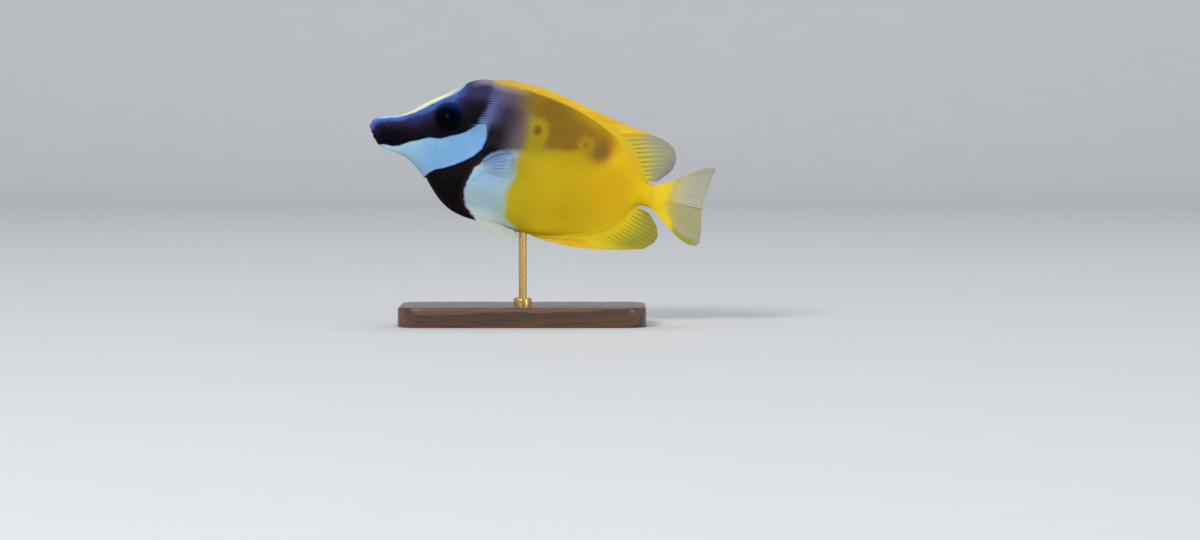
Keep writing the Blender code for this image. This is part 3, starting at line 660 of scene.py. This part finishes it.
def flank_colours(m, mask, wobble, patchy, lines):
    """The yellow flank with its brown saddle and spots, the white patch and the dark chest, with painted
    light on the underside.
    """
    s, h = m.attributes("fish_s", "fish_h")
    down, up = m.attributes("from_back", "from_belly")
    yellow = m.layers(
        (172, 156, 28),
        ((s, 78, 100), (184, 155, 22)),
        ((s, 104, 130), (204, 163, 24)),
        ((s, 130, 146), (214, 179, 26)),
        ((s, 138, 147), (h, -3, 4, 0, 0.7), (226, 198, 30)),
        ((s, 116, 126), (h, 4, 14), (216, 180, 32)),
        ((patchy, 0.45, 0.62), (s, 126, 142, 0.3, 0.1), (186, 144, 14)),
        ((h, 0, 10, 0, 0.4), (s, 124, 104), (146, 124, 18)),
        ((s, 94, 82), (h, 2, 9, 0, 0.8), (142, 125, 24)))
    brown = m.layers(
        (118, 90, 26),
        ((patchy, 0.4, 0.62, 0, 0.5), (131, 102, 34)),
        ((s, 98, 112, 0, 0.8), (140, 106, 26)),
        ((s, 116, 123, 0, 0.9), (166, 120, 26)))
    moved = m.math("DIVIDE", m.plus(m.attribute("brown"), wobble, 1.6), m.step(s, 106, 120, 2.6, 4.4))
    base = m.layers(
        yellow,
        ((moved, -1, 1), brown),
        ((down, 7.5, 0.5), (s, 88, 108, 0, 0.55), (s, 130, 118, 0.15, 1), (188, 146, 22)),
        ((down, 1.2, 0.1, 0, m.step(s, 70, 80, 0, 0.6)), (196, 154, 34)))
    for name, outer, inner, ragged, amount, tint in (
            ("spot_a", 7.4, 2.6, 1.2, 0.9, (144, 125, 28)), ("spot_b", 6.0, 2.4, 1.2, 0.75, (156, 127, 28)),
            ("spot_c", 6.8, 1.2, 2.4, 0.75, (113, 86, 42)), ("spot_a", 3.4, 1.6, 0.5, 0.9, (108, 77, 24)),
            ("spot_b", 2.3, 0.9, 0.4, 0.7, (132, 101, 16))):
        moved = m.plus(m.attribute(name), wobble, ragged)
        base = m.mix(m.step(moved, outer, inner, 0, amount), base, tint)
    dark = m.layers(
        (7, 6, 9),
        ((patchy, 0.4, 0.65), (17, 11, 13)),
        ((m.attribute("behind_gill"), 3.4, 0.4), (h, 10, 2, 0, 0.7), (6, 10, 38)))
    base = m.layers(
        base,
        # Painted light: the yellow is made lighter towards the belly from s 84 on, to offset the shade on
        # the body's underside.
        ((up, 13, 0.5), (s, 84, 96), (s, 142, 132, 0, 0.5), (236, 200, 36)),
        # Painted light: a paler rim along the belly's edge by the anal fin's base, to offset the shade in
        # the crease there.
        ((up, 2.4, 0.2, 0, 0.45), (s, 98, 108), (s, 140, 134), (250, 212, 44)),
        (mask("purple", 2.8, 2.0), mantle(m, lines)),
        (mask("chest", 1.6, 1.0), dark),
        ((m.attribute("patch"), -3.2, 0, 0, m.step(h, 0, -6, 0, 0.5)), (s, 68, 64), (56, 32, 38)))
    # The patch is painted lightest at its bottom, below h -33, to offset the shade under the belly: painted
    # light. Higher up it turns to its own bluer greys.
    white = m.layers(
        (224, 234, 230),
        ((h, -33, -25), m.mix(m.step(h, -24, -10), (142, 166, 174), (144, 176, 200))),
        ((h, -8, 2, 0, 0.9), (92, 118, 152)),
        ((s, 67, 76, 0, 0.7), (158, 177, 156)),
        ((h, 1, 5, 0, 0.75), (s, 68, 71), (94, 104, 112)),
        ((patchy, 0.45, 0.62, 0, 0.3), (168, 192, 204)))
    fade = m.step(s, 66, 74, 0.7, 1.6)
    moved = m.plus(m.attribute("patch"), wobble, 2.2)
    return m.mix(m.step(m.math("DIVIDE", moved, fade), -1, 1), base, white)


def skin_material():
    """The whole skin's material: its colours, its minute scales and its folds."""
    m = Maker("fish_skin")
    wobble = m.minus(m.noise(380, 3, shift=0.3), 0.5)
    fine = m.minus(m.noise(1500, 2), 0.5)
    patchy = m.noise(90, 4, shift=0.7)
    lines = m.wave("Z", m.coordinates("Object"), math.pi / 10 / (LINES_APART * MM), 2.6, fine=0.6)

    def mask(name, soft, ragged):
        """How far inside an outline a point is, from 0 to 1, with a soft and ragged edge."""
        moved = m.plus(m.attribute(name), wobble, ragged)
        moved = m.plus(moved, fine, ragged * 0.5)
        return m.step(moved, -soft, soft)

    base = flank_colours(m, mask, wobble, patchy, lines)
    head = head_colours(m, mask, lines, patchy)
    behind = m.attribute("behind_gill")
    h = m.attribute("fish_h")
    base = m.layers(
        base,
        ((m.plus(behind, fine, 0.3), 0.3, -0.3), head),
        # Painted shade: a dark line along the gill cover's edge, strongest low down.
        ((m.apart(behind, 0.25), 0.8, 0.1, 0, m.step(h, 17, 9, 0, 0.7)), (12, 10, 16)),
        ((m.apart(m.attribute("eye_gap"), 6.6), 2.4, 0.5, 0, 0.9),
         m.mix(m.step(h, 14, 20), (3, 3, 9), (5, 18, 62))),
        ((m.attribute("line"), 0.45, 0.1, 0, 0.03), (60, 44, 18)))
    inputs = {"Vector": m.mapped("UV", (150, 210, 1)), "Scale": 1.0, "Randomness": 0.55}
    scales = m.node("ShaderNodeTexVoronoi", inputs, feature="DISTANCE_TO_EDGE")
    plate = m.step(scales.outputs["Distance"], 0.02, 0.2)
    soft = m.bump(m.noise(700, 4), 0.2, 0.0003)
    folds = m.bump(m.noise(1, 3, stretch=(190, 190, 900), shift=0.2), 0.2, 0.0003, soft)
    return m.surface({
        "Base Color": m.mix(m.step(plate, 1, 0, 0, 0.06), base, (40, 30, 18)),
        "Roughness": m.step(patchy, 0.3, 0.7, 0.36, 0.5),
        "Specular IOR Level": 0.025,
        "Normal": m.bump(plate, 0.16, 0.0001, folds)})


# Fins ---------------------------------------------------------------------------------------------
def fin_points(guides, rays, per_ray, rows, thickness, lateral, end, start):
    """The points of a fin's middle sheet, with its half thickness and how high its ridges are there.

    A ray's curve runs through four points, and on inward from the first with its slope there.
    """
    numbers = np.array([n for n, _ in guides], float) + 1
    points = np.array([p for _, p in guides], float)
    columns = (rays - 1) * per_ray + 1
    r = np.arange(columns) / per_ray
    guide = np.empty((4, 2, columns))
    for k in range(4):
        for c in (0, 1):
            guide[k, c] = smooth(list(zip(numbers, points[:, k, c])), r + 1)
    t = np.linspace(start, 1, rows)[None, :] * end(r)[:, None]
    out, inward = np.maximum(t, 0), np.minimum(t, 0)
    weights = [-4.5 * (out - 1 / 3) * (out - 2 / 3) * (out - 1) - 5.5 * inward,
               13.5 * out * (out - 2 / 3) * (out - 1) + 9 * inward,
               -13.5 * out * (out - 1 / 3) * (out - 1) - 4.5 * inward,
               4.5 * out * (out - 1 / 3) * (out - 2 / 3) + inward]
    s, h = (sum(w * guide[k, c][:, None] for k, w in enumerate(weights)) for c in (0, 1))
    r = r[:, None] + 0 * t
    ridge, half = thickness(r, t)
    return s, lateral(r / (rays - 1), t, s, h), h, half, ridge, r, t


def into_body(half, s, h, ease, along):
    """The fin's half thickness, its base eased into the skin and, deeper in, kept just under it."""
    top, bottom, widest = body_at(np.minimum(s, TAIL_END))[:3]
    span = np.where(h > widest, top - widest, widest - bottom)
    reach = np.abs(h - widest) / span
    body = np.where(reach < 1, section(np.minimum(s, TAIL_END), reach), -BODY_FALL * (reach - 1) * span)
    body = body - BODY_FALL * np.maximum(s - TAIL_END, 0)
    near = np.maximum(ease - np.abs(body - half), 0)
    deep = 1 - (ramp(140, 147.5, s) if along else ramp(0.72, 0.95, reach))
    return np.maximum(body, half) + near ** 2 / (4 * ease) - FIN_HIDDEN * deep


def soft_ridge(strand, t, width, split):
    """1 on a strand's crest and 0 between strands. Past the split each strand parts into two."""
    off = strand - np.round(strand)
    parted = ramp(split, split + 0.5, t)
    gap = np.minimum(np.abs(off - 0.25 * parted), np.abs(off + 0.25 * parted))
    return swell(gap, width * (1 - 0.35 * parted))


def fin(name, nodes, guides, rays, spines, lateral, material, strands=1.0, per_ray=24, rows=48,
        split=0.45, notch=0.012, thin=0.13, ray_heights=(0.12, 0.05), width=0.17, start=0.0, sheath=0.0,
        spine_sheath=0.0, round_ends=0.0, ease=0.0):
    """A fin as one closed sheet, thin between its rays and thicker in the scaly sheath at its base.

    With ease, the base of its soft part flows into the body over about that many millimetres.
    """
    root_ray = [n for n, _ in guides]
    root_width = [float(smooth(HALF_WIDTH, p[0][0])) for _, p in guides]

    def thickness(r, t):
        spiny = r < spines - 0.5
        soft = soft_ridge((r - spines) * strands, t, width, split)
        off = np.abs(r - np.round(r))
        hard = np.sqrt(np.clip(1 - (off / 0.4) ** 2, 0, 1))
        ridge = np.where(spiny, hard, soft)
        (spine_low, spine_high), (ray_low, ray_high) = SPINE_HEIGHTS, ray_heights
        tall = np.where(spiny, spine_low + (spine_high - spine_low) * t, ray_low + (ray_high - ray_low) * t)
        middle = np.sqrt(1 - 0.92 * (2 * r / (rays - 1) - 1) ** 2)
        wide = sheath * np.interp(r, root_ray, root_width) * middle
        base = (1 - ramp(-0.35, 0.4, t)) ** 1.3
        low = spine_sheath * (1 - ramp(0, 0.25, t)) * (1 - ramp(spines - 1.5, spines + 1.5, r))
        return ridge, thin + ridge * tall * (1 - 0.8 * base * (sheath + ease > 0)) + wide * base + low

    def end(r):
        off = np.abs(r - np.round(r))
        deep = np.where(r < spines - 0.5, notch * 0.4, notch)
        ragged = np.array([noise.noise((float(x) * 1.7, len(name), 0.3)) for x in r])
        corner = round_ends * ((1 - ramp(-0.4, 1.1, r)) + (1 - ramp(-0.4, 1.1, rays - 1 - r)))
        return 1 - deep * ramp(0.08, 0.5, off) + 0.005 * ragged - corner

    s, y, h, half, ridge, r, t = fin_points(guides, rays, per_ray, rows, thickness, lateral, end, start)
    if ease:
        share = ramp(spines - 8, spines + 3, r) if spines else 1
        half = half + (into_body(half, s, h, ease, sheath > 0) - half) * share
    edge = ramp(1.0, 0.97, t / end(r[:, 0])[:, None])
    half = half * (0.35 + 0.65 * edge)
    columns, count = s.shape
    near, far = (place(np.stack([s, y + side * half, h], -1)).reshape(-1, 3) for side in (-1, 1))
    quads, other = grid_faces(columns, count), len(near)
    rim = [c * count for c in range(columns)] + [(columns - 1) * count + k for k in range(1, count)]
    rim += [c * count + count - 1 for c in range(columns - 2, -1, -1)] + list(range(count - 2, 0, -1))
    faces = list(quads) + list(quads[:, ::-1] + other)
    faces += [(a, b, other + b, other + a) for a, b in zip(rim, rim[1:] + rim[:1])]
    stored = {"ray": r, "strand": (r - spines) * strands, "reach": t, "ridge": ridge, "fish_s": s}
    uv = np.stack([np.tile(v.ravel(), 2) for v in (r / (rays - 1), t)], -1)
    made = mesh_object(name, np.concatenate([near, far]), faces,
                       {key: np.tile(v.ravel(), 2) for key, v in stored.items()}, uv)
    made.data.materials.append(material)
    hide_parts(*nodes)
    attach(made, "root")


def fin_material(name, paint, bump=0.3):
    """A fin's material. paint() gives its colour and its alpha."""
    m = Maker(name)
    tint, alpha = paint(m)
    joints = m.wave("Y", m.coordinates("UV"), 9.0, 1.2)
    grain = m.bump(m.noise(900, 3), bump, 0.0002)
    return m.surface({
        "Base Color": tint, "Alpha": alpha, "Roughness": 0.45, "Specular IOR Level": 0.15,
        "Normal": m.bump(m.times(joints, m.attribute("ridge")), 0.15, 0.0002, grain)})


def streaks(m, across, along, shift=0.0):
    """Noise drawn out along the rays."""
    return m.noise(1, 3, stretch=(across, along, 1), where="UV", shift=shift)


def soft_colours(m, gap, rib, strokes=0.3, wide=0.36):
    """A soft part's colour: dark strokes between light rays at its base, the membrane's own tone deepened
    with painted shade, that fade into an even tone.
    """
    reach = m.attribute("reach")
    spread = m.ragged(reach, streaks(m, 40, 1, 0.4), 0.4)
    # The strokes' dark colours: the membrane's own tone with painted shade in it.
    dark = m.mix(m.step(spread, 0.15, 0.8), *gap)
    light = m.mix(m.step(spread, 0.1, 0.75), *rib)
    return m.mix(m.times(between_rays(m, wide), m.step(spread, 0.15, 0.75, 1.0, strokes)), light, dark)


def opacity(m, full, far=0.95, root=1.0, web=0.86, rib=0.94):
    """A fin's alpha: 1 where full is 1, and elsewhere thinner towards its edge and between its rays."""
    reach, ridge = m.attributes("reach", "ridge")
    clear = m.step(reach, 0.25, far, root, m.step(ridge, 0.1, 0.8, web, rib))
    return m.step(full, 0, 1, clear, 1.0)


def paint_dorsal(m):
    """An ochre strip over the folded spines, with painted shade at its base and along the last spine and a
    painted highlight along its top edge, then a greyer soft part.
    """
    ray, reach = m.attributes("ray", "reach")
    front = m.plus(ray, reach, 0.7)
    spiny = m.step(front, 14.2, 14.05)
    strip = m.layers(
        (190, 160, 80),
        ((ray, 0, 7), (207, 172, 34)),
        ((streaks(m, 34, 0.8), 0.42, 0.62, 0, 0.55), (194, 148, 18)),
        ((streaks(m, 44, 0.8, 0.7), 0.5, 0.7, 0, 0.6), (222, 192, 62)),
        # Painted shade at the strip's base, where it lies in its groove.
        ((reach, 0.3, 0.0, 0, 0.5), (190, 146, 20)),
        # A painted highlight: a pale line along the strip's top edge.
        ((reach, 0.88, 1, 0, 0.5), (226, 202, 94)),
        # Painted shade: an orange-brown line along the last spine.
        ((front, 13.7, 14.0, 0, 0.7), (196, 142, 10)))
    soft = m.layers(
        soft_colours(m, ((146, 135, 36), (138, 136, 112)), ((188, 175, 62), (152, 149, 120))),
        ((ray, 17, 21), (reach, 0.2, 0.5, 0, 0.85), (138, 137, 106)),
        ((front, 15.6, 14.2), (reach, 0.8, 0.3, 0, 0.7), (184, 160, 42)),
        ((reach, 0.6, 1.0, 0, m.step(ray, 16, 21.5, 0.15, 0.85)), (112, 109, 130)))
    root = m.step(m.plus(reach, streaks(m, 70, 1, 1.3), 0.12), 0.2, 0.06)
    return m.layers(soft, (spiny, strip), (root, (200, 165, 26))), opacity(m, spiny)


def paint_anal(m):
    """A yellow strip over the folded spines, with painted highlights on its front spines, then a duller
    soft part.
    """
    ray, reach = m.attributes("ray", "reach")
    spiny = m.step(ray, 7.2, 6.4)
    strip = m.layers(
        (192, 157, 26),
        ((ray, 0, 5), (206, 169, 16)),
        ((streaks(m, 30, 0.8), 0.42, 0.6, 0, 0.5), (188, 146, 20)),
        # Painted highlights: pinkish-white streaks on the front spines.
        ((streaks(m, 46, 1.4, 0.9), 0.52, 0.68, 0, m.step(ray, 4.5, 1, 0.1, 0.7)), (232, 196, 150)))
    soft = m.layers(
        soft_colours(m, ((142, 130, 14), (120, 116, 42)), ((192, 177, 32), (142, 137, 50)), 0.4, 0.28),
        ((ray, 10.6, 7.4, 0, 0.85), (212, 187, 28)),
        ((ray, 13, 8.5), (reach, 0.55, 0.95, 0, 0.7), (172, 162, 24)))
    root = m.step(m.plus(reach, streaks(m, 70, 1, 1.3), 0.2), 0.4, 0.12)
    return m.layers(soft, (spiny, strip), (root, (208, 178, 24))), opacity(m, spiny)


def paint_caudal(m):
    """The body's yellow on a scaly base with a bowed edge, and a dull fan with a crease along its middle
    ray painted in as a line of shade beside a line of highlight.
    """
    ray, reach, s = m.attributes("ray", "reach", "fish_s")
    upper = soft_colours(m, ((170, 164, 112), (158, 156, 138)), ((188, 182, 138), (168, 166, 146)), 0.5)
    lower = soft_colours(m, ((150, 142, 70), (144, 139, 92)), ((172, 163, 92), (156, 151, 106)), 0.5)
    tint = m.layers(
        upper,
        ((ray, 7.8, 8.8), (ray, 14.5, 11, 0.45, 0.9), lower),
        ((streaks(m, 110, 2, 0.2), 0.48, 0.7, 0, 0.25), (138, 132, 104)))
    # A crease painted along the middle ray: a line of painted shade at ray 8.3 beside a line of painted
    # highlight at ray 8.04.
    for at, wide, fold_shade_and_highlight in ((8.3, 0.26, (118, 106, 56)), (8.04, 0.1, (192, 178, 112))):
        near = m.step(m.apart(ray, at), wide, wide * 0.2, 0, m.step(reach, 0.2, 0.6, 0, 0.55))
        tint = m.mix(near, tint, fold_shade_and_highlight)
    bow = m.plus(m.plus(154.9, m.apart(ray, 8), 0.1), m.step(ray, 10, 15), 4.2)
    ragged = m.plus(m.minus(s, bow), streaks(m, 60, 1, 1.3), 2.4)
    scaled = m.step(ragged, 3.2, -1.2)
    tint = m.layers(
        tint,
        ((ray, 14.0, 15.3), (reach, 0.99, 0.8), 0.9, (154, 145, 10)),
        ((ray, 0.9, 0.1), (reach, 1, 0.5, 0, 0.6), (180, 166, 84)),
        ((ragged, 6.6, 0.0, 0, 0.75), m.mix(m.step(ray, 12, 15), (180, 168, 56), (156, 147, 20))),
        (scaled, m.mix(m.step(s, 142, 150), (205, 163, 22), (216, 186, 28))))
    return tint, opacity(m, scaled, 0.9, 0.97, 0.88, 0.95)


def paint_pectoral(m):
    """Nearly clear, with soft dark strokes between the rays over the pale patch, and painted shade along
    its leading rays.
    """
    ray, reach, s = m.attributes("ray", "reach", "fish_s")
    wander = m.ragged(reach, streaks(m, 14, 1), 0.3)
    strokes = m.times(m.step(wander, 0.1, 0.28), m.step(wander, 0.74, 0.36))
    strokes = m.times(strokes, between_rays(m, 0.4), m.step(ray, 11.5, 8))
    # Painted shade: dark lines along the leading rays, the shadow below the first ray.
    front = m.times(m.step(ray, 1.7, 0.6), m.step(reach, 0.9, 0.55, 0, 0.85))
    bright = m.times(m.step(m.apart(ray, 3), 1.1, 0.1, 0, 0.5), m.step(reach, 0.4, 0.6), m.step(s, 78, 75))
    yellowish = m.step(s, 73, 77)
    pale = m.mix(m.step(ray, 1, 6), (124, 154, 188), (152, 182, 206))
    tint = m.layers(
        m.mix(yellowish, pale, (162, 147, 26)),
        (strokes, m.mix(yellowish, (98, 126, 164), (142, 130, 26))),
        (front, m.mix(yellowish, (82, 107, 148), (140, 130, 34))),
        (bright, (172, 190, 208)))
    web = m.step(ray, 12, 6, 0.08, 0.45)
    dense = m.step(m.math("MAXIMUM", m.math("MAXIMUM", strokes, front), bright), 0, 0.8, web, 0.72)
    dense = m.step(m.plus(s, reach, 4), 74, 77.5, dense, 0.12)
    return tint, m.step(reach, 0.0, 0.12, 0.95, m.times(dense, m.step(reach, 1.0, 0.7, 0.15, 1.0)))


def paint_pelvic(m):
    """Pale and nearly solid, darker between the rays, with painted shade along its last ray near the base.
    """
    ray, reach, ridge = m.attributes("ray", "reach", "ridge")
    pale = m.mix(m.step(ray, 0.5, 2.5), (188, 190, 164), (172, 183, 174))
    tint = m.layers(
        m.mix(0.25, pale, (112, 122, 122)),
        ((ridge, 0.0, 0.7), pale),
        ((streaks(m, 18, 1.5), 0.5, 0.7, 0, 0.5), (198, 202, 192)),
        # Painted shade along the last ray, next to the body, fading out from the base.
        ((ray, 3.4, 3.9), (reach, 0.1, 0.5, 0.6, 0.0), (110, 124, 132)),
        ((reach, 0.8, 1.0, 0, 0.4), (196, 196, 150)))
    return tint, m.step(reach, 0.6, 1.0, 1.0, 0.94)


def fins():
    """All seven fins, each from its guide rays."""
    def sway(size):
        return lambda u, t, s, h: size * np.maximum(t, 0) ** 2 * np.sin(2 * math.pi * u)

    fin("dorsal_skin", ["dorsal_fin"], DORSAL, DORSAL_RAYS, DORSAL_SPINES, sway(0.8),
        fin_material("dorsal_fin_skin", paint_dorsal), strands=4 / 3, start=-0.45, ease=3.0,
        spine_sheath=0.8)
    fin("anal_skin", ["anal_fin"], ANAL, ANAL_RAYS, ANAL_SPINES, sway(-0.8),
        fin_material("anal_fin_skin", paint_anal), strands=2, start=-0.45, ease=3.0, spine_sheath=0.8)
    fin("caudal_skin", ["caudal_fin"], CAUDAL, CAUDAL_RAYS, 0, sway(1.6),
        fin_material("caudal_fin_skin", paint_caudal), strands=2, start=-0.4, sheath=0.85, ease=1.6,
        notch=0.006, ray_heights=(0.06, 0.04), round_ends=0.07)
    clear = fin_material("pectoral_fin_skin", paint_pectoral, bump=0.08)
    cream = fin_material("pelvic_fin_skin", paint_pelvic)
    for word, side in (("left", -1), ("right", 1)):
        def flank(u, t, s, h, side=side):
            lift = np.sqrt(np.clip(1.1 * t, 0, None))
            return side * (half_width(s, h) - PECTORAL_SUNK + PECTORAL_LIFT * lift)

        def keel(u, t, s, h, side=side):
            return side * (PELVIC_ROOT_Y + (PELVIC_TIP_Y - PELVIC_ROOT_Y) * t)

        fin(f"pectoral_skin_{word}", [f"pectoral_fin_{word}"], PECTORAL, PECTORAL_RAYS, 0, flank, clear,
            strands=0.6, per_ray=14, rows=40, thin=0.07, ray_heights=(0.05, 0.02), split=2, start=-0.03)
        fin(f"pelvic_skin_{word}", [f"pelvic_fin_{word}"], PELVIC, PELVIC_RAYS, 0, keel, cream,
            thin=0.16, start=-0.1, split=0.6, width=0.1)


# Eyes ---------------------------------------------------------------------------------------------
def eye_material():
    """An almost black eye, with a faint iris and a bluish upper edge."""
    m = Maker("fish_eye")
    out = m.attribute("from_pupil")
    spokes = m.noise(1, 4, stretch=(40, 3, 1), where="UV")
    iris = m.layers(
        (1, 3, 9),
        ((out, 0.5, 0.9), (1, 3, 10)),
        ((spokes, 0.45, 0.7, 0, 0.4), (4, 5, 13)))
    tint = m.layers(
        (0, 1, 5),
        ((out, 0.42, 0.54), iris),
        ((out, 0.74, 0.9), (3, 4, 12)),
        ((m.attribute("above"), 0.35, 0.9), (out, 0.5, 0.85), (4, 19, 70)))
    return m.surface({
        "Base Color": tint, "Roughness": 0.3, "Specular IOR Level": 0.01, "Coat Weight": 0.006,
        "Coat Roughness": 0.1, "Normal": m.bump(spokes, 0.1, 0.0002)})


def eyes():
    """Each eye as a flattened ball with a slightly domed middle."""
    look = eye_material()
    around, stacks = 96, 48
    for word, side in (("left", -1), ("right", 1)):
        facing = eye_facing(side)
        right = np.cross(facing, (0, 0, 1))
        right /= np.linalg.norm(right)
        up = np.cross(right, facing)
        a = np.linspace(0, math.pi, stacks)[:, None]
        b = np.arange(around)[None, :] * 2 * math.pi / around
        flat = EYE_RADIUS * np.sin(a) + 0 * b
        tall = EYE_PROUD + EYE_DEPTH * (np.cos(a) - 1) + 0.3 * swell(flat, 3.0) * (a < math.pi / 2)
        outward = np.cos(b)[..., None] * right + np.sin(b)[..., None] * up
        points = eye_centre(side) + flat[..., None] * outward + tall[..., None] * facing
        stored = {"from_pupil": flat / EYE_RADIUS, "above": (points[..., 2] - EYE_PLACE[1]) / EYE_RADIUS}
        uv = np.stack([b / (2 * math.pi) + 0 * a, a / math.pi + 0 * b], -1).reshape(-1, 2)
        made = mesh_object(f"eye_glass_{word}", place(points).reshape(-1, 3),
                           grid_faces(stacks, around, round_rows=True), stored, uv, merge=1e-6)
        made.data.materials.append(look)
        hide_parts(f"eye_{word}")
        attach(made, "root")


# Stand --------------------------------------------------------------------------------------------
def wood():
    """Dark, oiled wood with its grain along the base."""
    m = Maker("walnut")
    rings = m.wave("Y", m.mapped("Object", (3, 22, 22), turn=(0.5, 0.1, 0.05)), 2.2, 5.0, 4.0, 1.4, "SAW")
    pores = m.noise(1, 4, stretch=(60, 1600, 1600))
    tint = m.layers((58, 36, 24), (rings, (98, 64, 42)), ((pores, 0.5, 0.68, 0, 0.6), (34, 20, 14)))
    return m.surface({
        "Base Color": tint, "Roughness": m.step(pores, 0.3, 0.7, 0.3, 0.5), "Coat Weight": 0.3,
        "Coat Roughness": 0.15, "Normal": m.bump(pores, 0.2, 0.0001)})


def brass():
    """Brushed brass."""
    m = Maker("brass")
    brushed = m.noise(1, 3, stretch=(300, 300, 4000))
    return m.surface({
        "Base Color": m.mix(brushed, (196, 158, 90), (222, 188, 120)), "Metallic": 1.0,
        "Roughness": m.step(brushed, 0.3, 0.7, 0.2, 0.36), "Normal": m.bump(brushed, 0.12, 0.00005)})


def turned(name, profile, material, node, sides=64):
    """A piece turned about the rod's axis from (radius, height) points in millimetres."""
    angles = np.arange(sides) * 2 * math.pi / sides
    points = [(r * math.cos(a) * MM, r * math.sin(a) * MM, z * MM) for a in angles for r, z in profile]
    made = mesh_object(name, points, grid_faces(sides, len(profile), True, True))
    made.data.set_sharp_from_angle(angle=math.radians(40))
    made.data.materials.append(material)
    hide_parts(node)
    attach(made, "root")


def rounded_plate():
    """The base: a plate with round corners and a rounded upper edge."""
    length, width, tall, corner, edge, foot = 124.0, 62.0, 10.0, 12.0, 1.5, 0.5
    loops = []
    turns = np.linspace(0, math.pi / 2, 7)
    levels = [(foot, 0.0), (0.0, foot), (0.0, tall - edge)]
    levels += [(edge * (1 - math.cos(a)), tall - edge + edge * math.sin(a)) for a in turns[1:]]
    for inset, z in levels:
        loop = []
        for sx, sy, start in ((1, 1, 0), (-1, 1, 90), (-1, -1, 180), (1, -1, 270)):
            for a in np.radians(start + np.linspace(0, 90, 17)):
                reach = corner - inset
                loop.append(((sx * (length / 2 - corner) + reach * math.cos(a)) * MM,
                             (sy * (width / 2 - corner) + reach * math.sin(a)) * MM, z * MM))
        loops.append(loop)
    count = len(loops[0])
    faces = list(grid_faces(len(loops), count, round_rows=True))
    faces += [range(count)[::-1], (len(loops) - 1) * count + np.arange(count)]
    made = mesh_object("base_plate", [p for loop in loops for p in loop], faces)
    made.data.set_sharp_from_angle(angle=math.radians(50))
    made.data.materials.append(wood())
    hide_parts("stand_base")
    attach(made, "root")


def stand():
    """The base with its rod and collar."""
    rounded_plate()
    metal = brass()
    axis, radius, bore, collar_radius, sunk, corner = 0.01, 2, 2.05, 4.6, 0.3, 1
    low, high = (v[2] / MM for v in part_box("stand_rod"))
    profile = [(axis, low), (radius, low), (radius, high), (axis, high)]
    turned("rod", profile, metal, "stand_rod")
    low, high = (v[2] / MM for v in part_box("stand_collar"))
    rounding = [(collar_radius - corner + corner * math.cos(a), high - corner + corner * math.sin(a))
                for a in np.linspace(0, math.pi / 2, 7)]
    profile = [(bore, low - sunk), (collar_radius, low - sunk), *rounding, (bore, high)]
    turned("collar", profile, metal, "stand_collar")


# Studio -------------------------------------------------------------------------------------------
def studio():
    """A pale floor that curves up behind, three soft lights and the camera."""
    near, back, radius, top, side = -4.0, 2.2, 0.6, 3.6, 4.5
    bend = [(back + radius * math.sin(a), radius - radius * math.cos(a))
            for a in np.linspace(0.08, math.pi / 2, 20)]
    loop = [(near, 0.0), (back, 0.0), *bend, (back + radius, top)]
    points = [(x, y, z) for x in (-side, side) for y, z in loop]
    floor = mesh_object("floor", points, grid_faces(2, len(loop)))
    m = Maker("floor_paint")
    paint = m.mix(m.noise(30, 3), (192, 194, 197), (197, 199, 201))
    floor.data.materials.append(m.surface({"Base Color": paint, "Roughness": 0.7}))

    bpy.context.scene.view_settings.view_transform = "Standard"
    world = bpy.data.worlds.new("studio")
    bpy.context.scene.world = world
    world.use_nodes = True
    background = world.node_tree.nodes["Background"]
    background.inputs["Color"].default_value = (0.95, 0.97, 1.0, 1)
    background.inputs["Strength"].default_value = 0.55
    for name, at, size, power in (
            ("key", (-1.2, -2.2, 1.7), 0.9, 60), ("fill", (2.2, -1.9, 0.7), 1.2, 18),
            ("top", (0.2, 0.9, 2.8), 1.6, 24)):
        lamp = bpy.data.lights.new(name, "AREA")
        lamp.shape = "DISK"
        lamp.size = size
        lamp.energy = power
        lit = bpy.data.objects.new(name, lamp)
        lit.location = at
        lit.rotation_euler = (Vector((0, 0, 0.08)) - Vector(at)).to_track_quat("-Z", "Y").to_euler()
        bpy.context.scene.collection.objects.link(lit)

    camera = bpy.data.cameras.new("camera")
    camera.sensor_width = SENSOR
    camera.lens = SENSOR * CAMERA_AWAY / (PICTURE[0] * MM_PER_PIXEL * MM)
    camera.clip_start = 0.01
    seen = bpy.data.objects.new("camera", camera)
    bpy.context.scene.collection.objects.link(seen)
    seen.location = camera_place()
    seen.rotation_euler = Vector(picture_middle() - camera_place()).to_track_quat("-Z", "Y").to_euler()
    bpy.context.scene.camera = seen


skin()
fins()
eyes()
stand()
studio()
